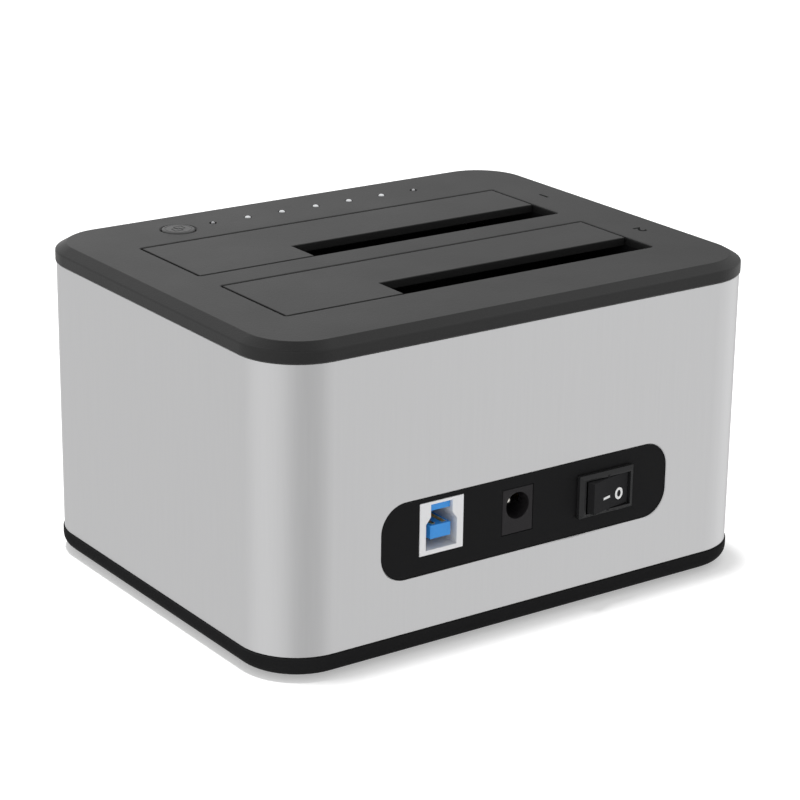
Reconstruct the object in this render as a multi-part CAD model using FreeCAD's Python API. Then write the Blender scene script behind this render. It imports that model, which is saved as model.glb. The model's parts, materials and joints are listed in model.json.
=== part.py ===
import FreeCAD, Part
import math
import os

from FreeCAD import Vector

# A two-bay drive dock that also copies one drive to the other.  Millimetres.
# X runs along the rear panel, Y from the lights at the front to the sockets at the rear, Z up.
# Everything is built about the centre of the aluminium sleeve, standing on z = 0.  The switch
# stands out at the rear, so the pieces are moved forward when written: the origin is then the
# bottom centre of the whole object.

# ---- driving dimensions -------------------------------------------------------------------

# aluminium sleeve
sleeve_length = 137.0
sleeve_depth = 108.0
sleeve_radius = 14.7
sleeve_wall = 1.6
sleeve_height = 67.75

# base plate and feet
foot_proud = 1.0
foot_radius = 5.8
foot_inset = 24.0
base_rim_height = 4.8
base_overhang = 0.3
base_edge_radius = 3.1
base_floor = 2.5

# how the mouldings locate inside the sleeve
lip_height = 4.0
lip_wall = 1.5
slip_fit = 0.15

# top cover
cover_overhang = 0.25
cover_band = 2.75
cover_chamfer_rise = 1.55
cover_chamfer_inset = 2.95
cover_skin = 2.0

# drive bays: openings in the cover
bay_length = 104.0
bay_width = 27.45
bay_gap = 9.05
bay_centre_x = 0.75
bay_centre_y = 1.2
bay_corner = 0.6

# slots for small drives, left open beside each flap
slot_length = 72.5
slot_width = 10.2

# flaps and their hinges
flap_drop = 0.05
flap_thickness = 1.95
flap_gap = 0.45
flap_edge_radius = 0.2
hinge_setback = 3.4
hinge_inset = 1.0
pin_radius = 0.8
pin_fit = 0.03
hinge_fit = 0.05
knuckle_radius = 1.9
knuckle_width = 9.0
arm_width = 5.5
arm_reach = 8.5
stop_length = 3.6
stop_thickness = 1.1
lug_width = 2.5
side_gap = 0.3

# flap return springs
spring_wire_radius = 0.22
spring_coil_radius = 1.35
spring_length = 2.6
spring_leg_reach = 6.0
spring_tail_reach = 3.6
spring_touch = 0.08

# bay frame
well_wall = 1.5
well_corner = 2.5
flap_pocket = 1.6
drive_floor_z = 30.0
well_floor = 1.6
ear_thickness = 2.4
ear_z = 62.0
ear_half_depth = 43.0
tie_thickness = 2.0

# hollow screw columns on the base, under the bay frame's ears and the cover's bosses
column_inset = 6.6
column_radius = 4.3
column_y = 36.0
column_seat = 2.4
cover_boss_radius = 3.0

# screws
screw_radius = 1.4
screw_bore_fit = 0.05
screw_hole_fit = 0.3
screw_head_radius = 2.7
screw_head_height = 1.7
screw_head_fit = 0.4
screw_grip = 8.0
screw_end_gap = 0.5
cross_length_share = 1.1
cross_width_share = 0.26
cross_depth_share = 0.5
small_screw_radius = 0.9
small_screw_head_radius = 1.8
small_screw_head_height = 1.1
small_screw_grip = 4.0

# main board
board_standoff = 18.3
board_thickness = 1.6
board_length = 110.0
board_front_y = -46.5
board_edge_gap = 0.4
board_corner = 2.0
board_post_radius = 3.0
board_screw_x = 48.0
board_screw_y = 1.2
board_rib_length = 12.0
board_rib_thickness = 1.5
board_rib_inset = 6.0

# rear panel
panel_length = 81.6
panel_above_socket = 1.325
panel_below_board = 4.525
panel_radius = 6.5
panel_centre_x = 0.4
panel_recess = 0.3
panel_fit = 0.15
panel_flange = 1.6
panel_flange_margin = 3.6
panel_flange_fit = 0.1
panel_rail_width = 3.0
panel_rail_thickness = 1.2
panel_rail_height = 9.0
socket_fit = 0.15

# type B socket
usb_x = 24.75
usb_width = 12.0
usb_height = 12.6
usb_depth = 18.0
usb_shell_wall = 0.35
usb_front_rim = 0.9
usb_housing_fit = 0.05
usb_mouth_width = 8.45
usb_mouth_height = 7.8
usb_mouth_chamfer = 1.6
usb_mouth_floor = 1.1
usb_upper_width = 5.9
usb_upper_height = 3.0
usb_mouth_depth = 11.0
tongue_plate = 1.2
tongue_slack = 0.05
tongue_width = 5.6
tongue_height = 3.2
tongue_recess = 0.5
upper_tongue_height = 1.8
upper_tongue_recess = 0.8
contact_width = 1.0
contact_thickness = 0.12
contact_setback = 0.8
upper_contact_count = 5

# power jack
jack_x = 3.5
jack_width = 8.6
jack_height = 10.9
jack_depth = 13.7
jack_hole_radius = 3.2
jack_hole_height = 6.6
jack_hole_depth = 10.0
jack_pin_radius = 1.0
jack_pin_recess = 3.2
jack_pin_fit = 0.05
jack_notch_height = 2.0
jack_notch_length = 6.0
jack_notch_bite = 0.4
jack_leaf_thickness = 0.4
jack_leaf_fit = 0.1
jack_tail_width = 1.6
jack_tail_thickness = 0.35

# rocker switch
switch_x = -21.8
switch_rise = 4.85
bezel_length = 15.9
bezel_height = 10.4
bezel_proud = 1.7
bezel_chamfer = 0.8
switch_body_depth = 9.0
switch_body_fit = 0.1
switch_body_wall = 0.5
rocker_half_length = 6.1
rocker_height = 7.6
rocker_end_rise = 2.3
rocker_mid_rise = 1.8
rocker_pivot_rise = 0.8
rocker_tilt = 12.0
rocker_body_depth = 3.0
rocker_gap = 0.25
rocker_swing_gap = 0.5
trunnion_radius = 0.9
trunnion_length = 0.4
trunnion_fit = 0.05
rocker_end_depth = 2.0
switch_body_corner = 0.4
switch_floor = 3.0
terminal_x = 3.5
terminal_width = 2.4
terminal_thickness = 0.6
terminal_reach = 3.0

# data sockets under the bays
sata_from_slot_end = 31.3
sata_from_bay_edge = 4.5
sata_length = 37.0
sata_width = 5.6
sata_proud = 5.5
sata_signal_slot = 10.9
sata_power_slot = 21.4
sata_slot_width = 1.5
sata_slot_depth = 6.0
sata_slot_divider = 1.6
sata_key = 1.1
sata_hole_gap = 0.5
sata_signal_count = 7
sata_power_count = 15
sata_contact_pitch = 1.27
sata_contact_width = 0.6
sata_contact_thickness = 0.3
sata_contact_setback = 1.0
sata_chamfer = 0.4

# small parts on the main board
chip_chamfer = 0.3
bridge_size = 12.0
bridge_height = 1.4
bridge_y = 10.0
memory_x = 28.5
memory_length = 5.0
memory_width = 6.0
memory_height = 1.6
crystal_x = -18.0
crystal_length = 7.0
crystal_width = 3.4
crystal_height = 2.4
capacitor_places = ((-7.5, 43.0), (28.0, -41.5), (38.0, -41.5))
capacitor_radius = 3.15
capacitor_height = 10.0
inductor_x = 44.0
inductor_size = 7.0
inductor_height = 3.6
inductor_chamfer = 0.8

# lights and copy button
light_y = -41.2
light_first_x = 26.3
light_pitch = 10.0
light_count = 7
light_radius = 0.85
light_shaft_width = 2.4
light_fit = 0.08
light_shaft_gap = 0.2
led_length = 2.0
led_width = 1.2
led_height = 0.8
button_x = 36.5
button_y = -40.5
button_radius = 3.85
button_gap = 0.2
button_proud = 0.2
button_flange = 0.6
button_flange_height = 0.8
button_flange_fit = 0.1
button_stem_radius = 1.5
top_board_drop = 6.8
top_board_thickness = 1.2
top_board_front_y = -48.0
top_board_rear_y = -37.2
top_board_left_x = -38.5
top_board_right_x = 45.0
top_board_screw_x = (-36.0, 42.5)
top_board_screw_y = -45.6
top_board_boss_radius = 2.1
tact_size = 6.0
tact_height = 3.4
plunger_radius = 1.7
plunger_rise = 1.0
plunger_depth = 1.6
plunger_travel_room = 0.7
plunger_fit = 0.06

# the many small screws, bosses and holes are drawn with this many flat sides
small_round_sides = 12

# flexible lead between the two boards
flex_x = -19.0
flex_width = 12.0
flex_thickness = 0.3
flex_top_y = -41.8
flex_shift = 2.0
flex_bend_radius = 20.0
flex_socket_height = 2.4
flex_socket_width = 5.0
flex_socket_end = 1.5
flex_socket_fit = 0.1
flex_insertion = 1.6

# ---- sizes that follow --------------------------------------------------------------------

base_bottom = foot_proud
base_inside = base_bottom + base_floor
sleeve_bottom = base_bottom + base_rim_height
sleeve_top = sleeve_bottom + sleeve_height
band_top = sleeve_top + cover_band
cover_top = band_top + cover_chamfer_rise
cover_under = cover_top - cover_skin

inner_half_length = sleeve_length / 2 - sleeve_wall
inner_half_depth = sleeve_depth / 2 - sleeve_wall
column_x = inner_half_length - column_inset

bay_x0 = bay_centre_x - bay_length / 2
bay_x1 = bay_centre_x + bay_length / 2
slot_x1 = bay_x0 + slot_length
bay_y0 = {
    "front": bay_centre_y - bay_gap / 2 - bay_width,
    "rear": bay_centre_y + bay_gap / 2,
}

hinge_z = cover_under - side_gap - knuckle_radius
knuckle_x = (bay_x0 + hinge_inset, bay_x1 - hinge_inset - knuckle_width)

board_under = base_inside + board_standoff
board_top = board_under + board_thickness
panel_height = panel_below_board + usb_height + panel_above_socket
panel_z = board_top - panel_below_board + panel_height / 2
panel_face = sleeve_depth / 2 - panel_recess
flange_rear = inner_half_depth - panel_flange_fit
flange_front = flange_rear - panel_flange
board_rear_y = flange_front - board_edge_gap

sata_x = bay_x0 + sata_from_slot_end
sata_top = drive_floor_z + sata_proud

switch_z = board_top + switch_rise
switch_recess_length = 2 * (rocker_half_length + rocker_swing_gap)
switch_recess_height = rocker_height + 2 * rocker_gap
switch_body_length = switch_recess_length + 2 * switch_body_wall
switch_body_height = switch_recess_height + 2 * switch_body_wall
rocker_pivot_y = panel_face + rocker_pivot_rise
rear_reach = rocker_half_length * math.sin(math.radians(rocker_tilt)) + (
    (rocker_end_rise - rocker_pivot_rise) * math.cos(math.radians(rocker_tilt))
)
rear_most_y = rocker_pivot_y + rear_reach
front_most_y = -sleeve_depth / 2 - base_overhang
forward_shift = (rear_most_y + front_most_y) / 2

top_board_top = cover_under - top_board_drop
top_board_under = top_board_top - top_board_thickness

# shallow overlap that lets two solids fuse into one
bite = 0.2


# ---- small tools --------------------------------------------------------------------------

def block(x0, x1, y0, y1, z0, z1):
    return Part.makeBox(x1 - x0, y1 - y0, z1 - z0, Vector(x0, y0, z0))


def outline(length, width, radius, z, cx=0.0, cy=0.0):
    """A rectangle with round corners, as a closed wire at height z."""
    a = length / 2
    b = width / 2
    r = min(radius, a - 0.01, b - 0.01)
    edges = []
    corners = ((1, 1, 0), (-1, 1, 90), (-1, -1, 180), (1, -1, 270))
    arcs = []
    for sx, sy, start in corners:
        centre = Vector(cx + sx * (a - r), cy + sy * (b - r), z)
        arcs.append(Part.makeCircle(r, centre, Vector(0, 0, 1), start, start + 90))
    for i, arc in enumerate(arcs):
        following = arcs[(i + 1) % 4]
        edges.append(arc)
        edges.append(Part.makeLine(arc.Vertexes[-1].Point, following.Vertexes[0].Point))
    return Part.Wire(edges)


def rounded_block(length, width, radius, z0, z1, cx=0.0, cy=0.0):
    face = Part.Face(outline(length, width, radius, z0, cx, cy))
    return face.extrude(Vector(0, 0, z1 - z0))


def sleeve_offset_block(offset, z0, z1):
    """The sleeve's outline grown by offset (shrunk when negative), from z0 to z1."""
    length = sleeve_length + 2 * offset
    depth = sleeve_depth + 2 * offset
    return rounded_block(length, depth, sleeve_radius + offset, z0, z1)


def post(x, y, z0, z1, radius):
    return Part.makeCylinder(radius, z1 - z0, Vector(x, y, z0))


def small_round(x, y, z0, z1, radius):
    """A post with flat sides, for small round features that repeat."""
    turn = 2 * math.pi / small_round_sides
    ring = [Vector(x + radius * math.cos(i * turn), y + radius * math.sin(i * turn), z0)
            for i in range(small_round_sides)]
    return Part.Face(Part.makePolygon(ring + ring[:1])).extrude(Vector(0, 0, z1 - z0))


def rod_x(x0, x1, y, z, radius):
    return Part.makeCylinder(radius, x1 - x0, Vector(x0, y, z), Vector(1, 0, 0))


def rod_rearward(x, y0, y1, z, radius):
    return Part.makeCylinder(radius, y1 - y0, Vector(x, y0, z), Vector(0, 1, 0))


def prism_x(points, x0, x1):
    """A profile in Y and Z, drawn at x0 and pushed to x1."""
    wire = Part.makePolygon([Vector(x0, y, z) for y, z in points + points[:1]])
    return Part.Face(wire).extrude(Vector(x1 - x0, 0, 0))


def prism_y(points, y0, y1):
    """A profile in X and Z, drawn at y0 and pushed to y1."""
    wire = Part.makePolygon([Vector(x, y0, z) for x, z in points + points[:1]])
    return Part.Face(wire).extrude(Vector(0, y1 - y0, 0))


def joined(shapes):
    whole = shapes[0].multiFuse(shapes[1:]).removeSplitter()
    return whole


def pierced(shape, tools):
    return shape.cut(Part.makeCompound(tools))


def flat_edges(shape, z):
    """The edges of a shape that lie wholly at height z."""
    return [e for e in shape.Edges if abs(e.BoundBox.ZMin - z) < 1e-4 and abs(e.BoundBox.ZMax - z) < 1e-4]


def corners(x, y):
    return [(sx * x, sy * y) for sx in (-1, 1) for sy in (-1, 1)]


def write(name, shape):
    moved = shape.copy()
    moved.translate(Vector(0, -forward_shift, 0))
    moved.exportStep(os.path.join("parts", name + ".step"))


# ---- casing -------------------------------------------------------------------------------

def panel_cutout():
    """The opening in the sleeve's rear wall, long enough to pass right through that wall."""
    turned = rounded_block(panel_length, panel_height, panel_radius, 0, 3 * sleeve_wall)
    turned.rotate(Vector(0, 0, 0), Vector(1, 0, 0), -90)
    turned.translate(Vector(panel_centre_x, sleeve_depth / 2 - 2 * sleeve_wall, panel_z))
    return turned


def sleeve():
    outer = sleeve_offset_block(0, sleeve_bottom, sleeve_top)
    inner = sleeve_offset_block(-sleeve_wall, sleeve_bottom - 1, sleeve_top + 1)
    return pierced(outer, [inner, panel_cutout()])


def column_places():
    return corners(column_x, column_y)


def foot_places():
    return corners(sleeve_length / 2 - foot_inset, sleeve_depth / 2 - foot_inset)


def board_screw_places():
    return [(-board_screw_x, board_screw_y), (board_screw_x, board_screw_y)]


def flange_length():
    return panel_length + 2 * panel_flange_margin


def base_plate():
    shell = sleeve_offset_block(base_overhang, base_bottom, sleeve_bottom)
    shell = shell.makeFillet(base_edge_radius, flat_edges(shell, base_bottom))
    lip_out = -(sleeve_wall + slip_fit)
    lip = sleeve_offset_block(lip_out, base_inside, sleeve_bottom + lip_height)
    hollow = sleeve_offset_block(lip_out - lip_wall, base_inside, sleeve_bottom + lip_height + 1)
    tray = pierced(shell.fuse(lip), [hollow])

    added = []
    cut = []
    head_room = screw_head_radius + screw_head_fit
    for x, y in column_places():
        added.append(small_round(x, y, base_inside - bite, ear_z, column_radius))
        cut.append(small_round(x, y, base_bottom - 1, ear_z - column_seat, head_room))
        cut.append(small_round(x, y, ear_z - column_seat - 1, ear_z + 1, screw_radius + screw_hole_fit))
    for x, y in board_screw_places():
        added.append(small_round(x, y, base_inside - bite, board_under, board_post_radius))
        cut.append(small_round(x, y, board_under - screw_grip, board_under + 1,
                               screw_radius + screw_bore_fit))
    half_rib = board_rib_length / 2
    thin_rib = board_rib_thickness / 2
    for y in (board_front_y + board_rib_inset, board_rear_y - board_rib_inset):
        for x in (-board_screw_x, board_screw_x):
            added.append(block(x - half_rib, x + half_rib, y - thin_rib, y + thin_rib,
                               base_inside - bite, board_under))

    # the lip is open where the rear panel stands, and two rails hold the panel's foot
    half = flange_length() / 2 + panel_flange_fit
    cut.append(block(panel_centre_x - half, panel_centre_x + half, flange_front - panel_flange_fit,
                     inner_half_depth, base_inside, sleeve_bottom + lip_height + 1))
    rail_rear = flange_front - panel_flange_fit
    for side in (-1, 1):
        x = panel_centre_x + side * (flange_length() / 2 - panel_rail_width)
        added.append(block(x - panel_rail_width / 2, x + panel_rail_width / 2,
                           rail_rear - panel_rail_thickness, rail_rear,
                           base_inside - bite, base_inside + panel_rail_height))
    return pierced(joined([tray] + added), cut)


def rubber_feet():
    feet = []
    for x, y in foot_places():
        feet.append(post(x, y, 0, base_bottom, foot_radius))
    return Part.makeCompound(feet)


def light_places():
    return [(light_first_x - i * light_pitch, light_y) for i in range(light_count)]


def top_board_screw_places():
    return [(x, top_board_screw_y) for x in top_board_screw_x]


def hinge_y(bay):
    return bay_y0[bay] - hinge_setback


def lug_starts():
    """Where the cover's hinge lugs begin along X: outside both knuckles and at the middle."""
    first = knuckle_x[0] - side_gap - lug_width
    last = knuckle_x[1] + knuckle_width + side_gap
    return (first, bay_centre_x - lug_width / 2, last)


def hinge_lugs(bay):
    y = hinge_y(bay)
    lugs = []
    for start in lug_starts():
        web = block(start, start + lug_width, y - knuckle_radius, y + knuckle_radius,
                    hinge_z - knuckle_radius, cover_under + bite)
        hole = rod_x(start - 1, start + lug_width + 1, y, hinge_z, pin_radius + pin_fit)
        lugs.append(web.cut(hole))
    return lugs


def top_cover():
    band = sleeve_offset_block(cover_overhang, sleeve_top, band_top)
    low = outline(sleeve_length + 2 * cover_overhang, sleeve_depth + 2 * cover_overhang,
                  sleeve_radius + cover_overhang, band_top)
    inset = cover_overhang - cover_chamfer_inset
    high = outline(sleeve_length + 2 * inset, sleeve_depth + 2 * inset, sleeve_radius + inset, cover_top)
    shell = band.fuse(Part.makeLoft([low, high], True, True)).removeSplitter()

    skirt_out = -(sleeve_wall + slip_fit)
    skirt = sleeve_offset_block(skirt_out, sleeve_top - lip_height, sleeve_top + bite)
    hollow = sleeve_offset_block(skirt_out - lip_wall, sleeve_top - lip_height - 1, cover_under)
    shell = pierced(shell.fuse(skirt), [hollow])

    added = []
    cut = []
    for bay in bay_y0:
        y0 = bay_y0[bay]
        cut.append(rounded_block(bay_length, bay_width, bay_corner, cover_under - 1, cover_top + 1,
                                 bay_centre_x, y0 + bay_width / 2))
        added += hinge_lugs(bay)
    for x, y in column_places():
        added.append(small_round(x, y, ear_z + ear_thickness, cover_under + bite, cover_boss_radius))
        cut.append(small_round(x, y, ear_z + ear_thickness - 1, ear_z + ear_thickness + screw_grip,
                               screw_radius + screw_bore_fit))
    for x, y in top_board_screw_places():
        added.append(small_round(x, y, top_board_top, cover_under + bite, top_board_boss_radius))
        cut.append(small_round(x, y, top_board_top - 1, top_board_top + small_screw_grip,
                               small_screw_radius + screw_bore_fit))
    for x, y in light_places():
        cut.append(small_round(x, y, cover_under - 1, cover_top + 1, light_radius + light_fit))
    cut.append(post(button_x, button_y, cover_under - 1, cover_top + 1, button_radius + button_gap))
    return pierced(joined([shell] + added), cut)


# ---- bay frame ----------------------------------------------------------------------------

def bay_frame():
    """Two deep wells side by side, tied together, with an ear at each end that the screws clamp."""
    wells = []
    hollows = []
    cut = []
    for bay in bay_y0:
        inside_y0 = bay_y0[bay] - flap_pocket
        inside_y1 = bay_y0[bay] + bay_width
        width = inside_y1 - inside_y0
        middle = (inside_y0 + inside_y1) / 2
        wells.append(rounded_block(bay_length + 2 * well_wall, width + 2 * well_wall, well_corner,
                                   drive_floor_z - well_floor, cover_under, bay_centre_x, middle))
        hollows.append(rounded_block(bay_length, width, bay_corner, drive_floor_z, cover_under + 1,
                                     bay_centre_x, middle))
        # the hinge side is lower, and lower still where the flap's arms swing
        wall = (inside_y0 - well_wall - 1, inside_y0 + bay_corner)
        cut.append(block(bay_x0 - well_wall - 1, bay_x1 + well_wall + 1, wall[0], wall[1],
                         hinge_z - knuckle_radius - 2 * side_gap, cover_under + 1))
        for x in knuckle_x:
            cut.append(block(x - 2 * side_gap, x + arm_width + 2 * side_gap, wall[0], wall[1],
                             hinge_z - arm_reach - 1, cover_under + 1))
        y = inside_y1 - sata_from_bay_edge
        half_x = sata_length / 2 + sata_hole_gap
        half_y = sata_width / 2 + sata_hole_gap
        cut.append(block(sata_x - half_x, sata_x + half_x, y - half_y, y + half_y,
                         drive_floor_z - well_floor - 1, drive_floor_z + 1))

    joins = []
    for side, edge in ((-1, bay_x0 - well_wall), (1, bay_x1 + well_wall)):
        outer = side * (column_x + column_radius)
        x0 = min(edge - side * bite, outer)
        x1 = max(edge - side * bite, outer)
        joins.append(rounded_block(x1 - x0, 2 * ear_half_depth, column_radius, ear_z, ear_z + ear_thickness,
                                   (x0 + x1) / 2, 0))
    gap_y0 = bay_y0["front"] + bay_width + well_wall
    gap_y1 = bay_y0["rear"] - flap_pocket - well_wall
    for x in (bay_x0 + tie_thickness, bay_centre_x, bay_x1 - tie_thickness):
        joins.append(block(x - tie_thickness / 2, x + tie_thickness / 2, gap_y0 - bite, gap_y1 + bite,
                           drive_floor_z - well_floor, ear_z))
    for x, y in column_places():
        cut.append(small_round(x, y, ear_z - 1, ear_z + ear_thickness + 1, screw_radius + screw_hole_fit))
    return pierced(joined(wells + joins), hollows + cut)


# ---- flaps, pins and springs --------------------------------------------------------------

def flap_under():
    return cover_top - flap_drop - flap_thickness


def flap(bay):
    """An L-shaped lid, just below the cover's face, with two curled arms that ride on the hinge pin."""
    y0 = bay_y0[bay]
    x_left = bay_x0 + flap_gap
    x_right = bay_x1 - flap_gap
    y_near = y0 + flap_gap
    y_far = y0 + bay_width - flap_gap
    y_slot = y0 + bay_width - slot_width
    under = flap_under()
    shape = [(x_left, y_near), (x_right, y_near), (x_right, y_far),
             (slot_x1, y_far), (slot_x1, y_slot), (x_left, y_slot)]
    wire = Part.makePolygon([Vector(x, y, under) for x, y in shape + shape[:1]])
    plate = Part.Face(wire).extrude(Vector(0, 0, flap_thickness))
    plate = plate.makeFillet(flap_edge_radius, flat_edges(plate, cover_top - flap_drop))

    y = hinge_y(bay)
    arm_top = hinge_z + knuckle_radius
    root = under + bite
    arm = [(y, arm_top), (y_near, arm_top), (y_near, root), (y + arm_reach, root),
           (y + arm_reach, under), (y + knuckle_radius * 0.7, hinge_z - knuckle_radius * 0.7), (y, hinge_z)]
    pieces = [plate]
    bores = []
    for x in knuckle_x:
        pieces.append(rod_x(x, x + knuckle_width, y, hinge_z, knuckle_radius))
        pieces.append(prism_x(arm, x, x + arm_width))
        finger_y = y + bite
        pieces.append(block(x + arm_width + 3 * side_gap, x + knuckle_width, finger_y - stop_thickness,
                            finger_y, hinge_z - stop_length, hinge_z))
        bores.append(rod_x(x - 1, x + knuckle_width + 1, y, hinge_z, pin_radius + hinge_fit))
    return pierced(joined(pieces), bores)


def hinge_pin(bay):
    x0 = knuckle_x[0] - side_gap - lug_width - side_gap
    x1 = knuckle_x[1] + knuckle_width + side_gap + lug_width + side_gap
    return rod_x(x0, x1, hinge_y(bay), hinge_z, pin_radius)


def flap_spring(bay):
    """A closely wound torsion spring round the pin: one leg lifts the flap, the other bears on the cover."""
    y = hinge_y(bay)
    x0 = bay_centre_x + lug_width / 2 + side_gap
    x1 = x0 + spring_length
    wire = 2 * spring_wire_radius
    coil = rod_x(x0, x1, y, hinge_z, spring_coil_radius + spring_wire_radius)
    core = rod_x(x0 - 1, x1 + 1, y, hinge_z, spring_coil_radius - spring_wire_radius)
    low = hinge_z + spring_coil_radius - spring_wire_radius

    def leg(start_x, reach, surface):
        end = surface - spring_touch
        side = [(y, low), (y + reach, end - wire), (y + reach, end), (y, low + wire)]
        return prism_x(side, start_x, start_x + wire)

    lifting = leg(x0, spring_leg_reach, flap_under())
    bearing = leg(x1 - wire, -spring_tail_reach, cover_under)
    return joined([coil.cut(core), lifting, bearing])


# ---- rear panel and sockets ---------------------------------------------------------------

def rear_facing(length, height, radius, y0, y1, x, z):
    """A rounded block whose outline is seen from the rear, from y0 to y1."""
    shape = rounded_block(length, height, radius, 0, y1 - y0)
    shape.rotate(Vector(0, 0, 0), Vector(1, 0, 0), -90)
    shape.translate(Vector(x, y0, z))
    return shape


def io_panel():
    """The black insert: a face that fills the sleeve's opening, on a flange that stands in the base."""
    face = rear_facing(panel_length - 2 * panel_fit, panel_height - 2 * panel_fit,
                       panel_radius - panel_fit, flange_rear - bite, panel_face, panel_centre_x, panel_z)
    flange_top = panel_z + panel_height / 2 + panel_flange_margin
    half = flange_length() / 2
    flange = block(panel_centre_x - half, panel_centre_x + half, flange_front, flange_rear,
                   base_inside, flange_top)
    y0 = flange_front - 1
    y1 = panel_face + 1
    low = board_top - socket_fit
    half_usb = usb_width / 2 + socket_fit
    usb = block(usb_x - half_usb, usb_x + half_usb, y0, y1, low, board_top + usb_height + socket_fit)
    half_jack = jack_width / 2 + socket_fit
    jack = block(jack_x - half_jack, jack_x + half_jack, y0, y1, low, board_top + jack_height + socket_fit)
    switch = rear_facing(switch_body_length + 2 * switch_body_fit, switch_body_height + 2 * switch_body_fit,
                         switch_body_wall, y0, y1, switch_x, switch_z)
    return pierced(joined([face, flange]), [usb, jack, switch])


def usb_shell():
    """The folded metal jacket round the socket, behind the white front rim."""
    half = usb_width / 2
    y0 = panel_face - usb_depth
    y1 = panel_face - usb_front_rim
    wall = usb_shell_wall
    jacket = block(usb_x - half, usb_x + half, y0, y1, board_top, board_top + usb_height)
    inside = block(usb_x - half + wall, usb_x + half - wall, y0 + wall, y1 + 1,
                   board_top + wall, board_top + usb_height - wall)
    return jacket.cut(inside)


def usb_mouth(y0, y1):
    """The socket's opening: a wide lower part with sloped shoulders and a narrow upper part."""
    low = board_top + usb_mouth_floor
    shoulder = low + usb_mouth_height
    high = shoulder + usb_upper_height
    half = usb_mouth_width / 2
    upper = usb_upper_width / 2
    points = [(half, low), (half, shoulder - usb_mouth_chamfer), (upper, shoulder), (upper, high),
              (-upper, high), (-upper, shoulder), (-half, shoulder - usb_mouth_chamfer), (-half, low)]
    return prism_y([(usb_x + x, z) for x, z in points], y0, y1)


def usb_housing():
    half = usb_width / 2
    inner = usb_shell_wall + usb_housing_fit
    y0 = panel_face - usb_depth + inner
    y1 = panel_face - usb_front_rim
    core = block(usb_x - half + inner, usb_x + half - inner, y0, y1 + bite,
                 board_top + inner, board_top + usb_height - inner)
    rim = block(usb_x - half, usb_x + half, y1, panel_face, board_top, board_top + usb_height)
    return joined([core, rim]).cut(usb_mouth(panel_face - usb_mouth_depth, panel_face + 1))


def usb_tongue_z():
    return board_top + usb_mouth_floor + (usb_mouth_height - tongue_height) / 2


def upper_tongue_z():
    mouth_top = board_top + usb_mouth_floor + usb_mouth_height + usb_upper_height
    return mouth_top - tongue_slack - upper_tongue_height


def usb_tongues():
    """The blue inner moulding: one tongue in each part of the opening, on a plate at the back."""
    back = panel_face - usb_mouth_depth
    front = back + tongue_plate
    half = tongue_width / 2
    slack = tongue_slack
    half_plate = usb_mouth_width / 2 - slack
    top = upper_tongue_z() + upper_tongue_height
    plate = usb_mouth(back + slack, front)
    plate = plate.common(block(usb_x - half_plate, usb_x + half_plate, back, front,
                               board_top + usb_mouth_floor + slack, top))
    lower = block(usb_x - half, usb_x + half, front - bite, panel_face - tongue_recess,
                  usb_tongue_z(), usb_tongue_z() + tongue_height)
    upper = block(usb_x - half, usb_x + half, front - bite, panel_face - upper_tongue_recess,
                  upper_tongue_z(), top)
    return joined([plate, lower, upper])


def usb_contacts():
    """Two strips above and two below the lower tongue, and a row of finer ones under the upper one."""
    back = panel_face - usb_mouth_depth + tongue_plate
    half = contact_width / 2
    front = panel_face - tongue_recess - contact_setback
    low = usb_tongue_z()
    high = low + tongue_height
    strips = []
    for side in (-1, 1):
        x = usb_x + side * tongue_width / 4
        strips.append(block(x - half, x + half, back, front, low - contact_thickness, low))
        strips.append(block(x - half, x + half, back, front, high, high + contact_thickness))
    upper_front = panel_face - upper_tongue_recess - contact_setback
    under = upper_tongue_z()
    pitch = tongue_width / upper_contact_count
    for i in range(upper_contact_count):
        x = usb_x + (i - (upper_contact_count - 1) / 2) * pitch
        strips.append(block(x - half / 2, x + half / 2, back, upper_front, under - contact_thickness, under))
    return Part.makeCompound(strips)


def jack_hole_z():
    return board_top + jack_hole_height


def jack_body():
    body = block(jack_x - jack_width / 2, jack_x + jack_width / 2, panel_face - jack_depth, panel_face,
                 board_top, board_top + jack_height)
    hole = rod_rearward(jack_x, panel_face - jack_hole_depth, panel_face + 1, jack_hole_z(), jack_hole_radius)
    seat = rod_rearward(jack_x, panel_face - jack_depth - 1, panel_face - jack_hole_depth + 1,
                        jack_hole_z(), jack_pin_radius + jack_pin_fit)
    notch = block(jack_x - jack_width / 2 - 1, jack_x - jack_hole_radius + jack_notch_bite,
                  panel_face - jack_hole_depth, panel_face - jack_hole_depth + jack_notch_length,
                  jack_hole_z() - jack_notch_height / 2, jack_hole_z() + jack_notch_height / 2)
    return pierced(body, [hole, seat, notch])


def jack_centre_pin():
    y1 = panel_face - jack_pin_recess
    return rod_rearward(jack_x, panel_face - jack_depth, y1, jack_hole_z(), jack_pin_radius)


def jack_contact():
    """The leaf that touches the plug's barrel, in its notch at the side of the hole, and its tail."""
    x = jack_x - jack_width / 2
    y0 = panel_face - jack_hole_depth + jack_leaf_fit
    y1 = y0 + jack_notch_length - 2 * jack_leaf_fit
    half = jack_notch_height / 2 - jack_leaf_fit
    leaf = block(x, x + jack_leaf_thickness, y0, y1, jack_hole_z() - half, jack_hole_z() + half)
    tail = block(x - jack_tail_thickness, x, y0, y0 + jack_tail_width, board_top, jack_hole_z() + half)
    return joined([leaf, tail])


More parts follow.
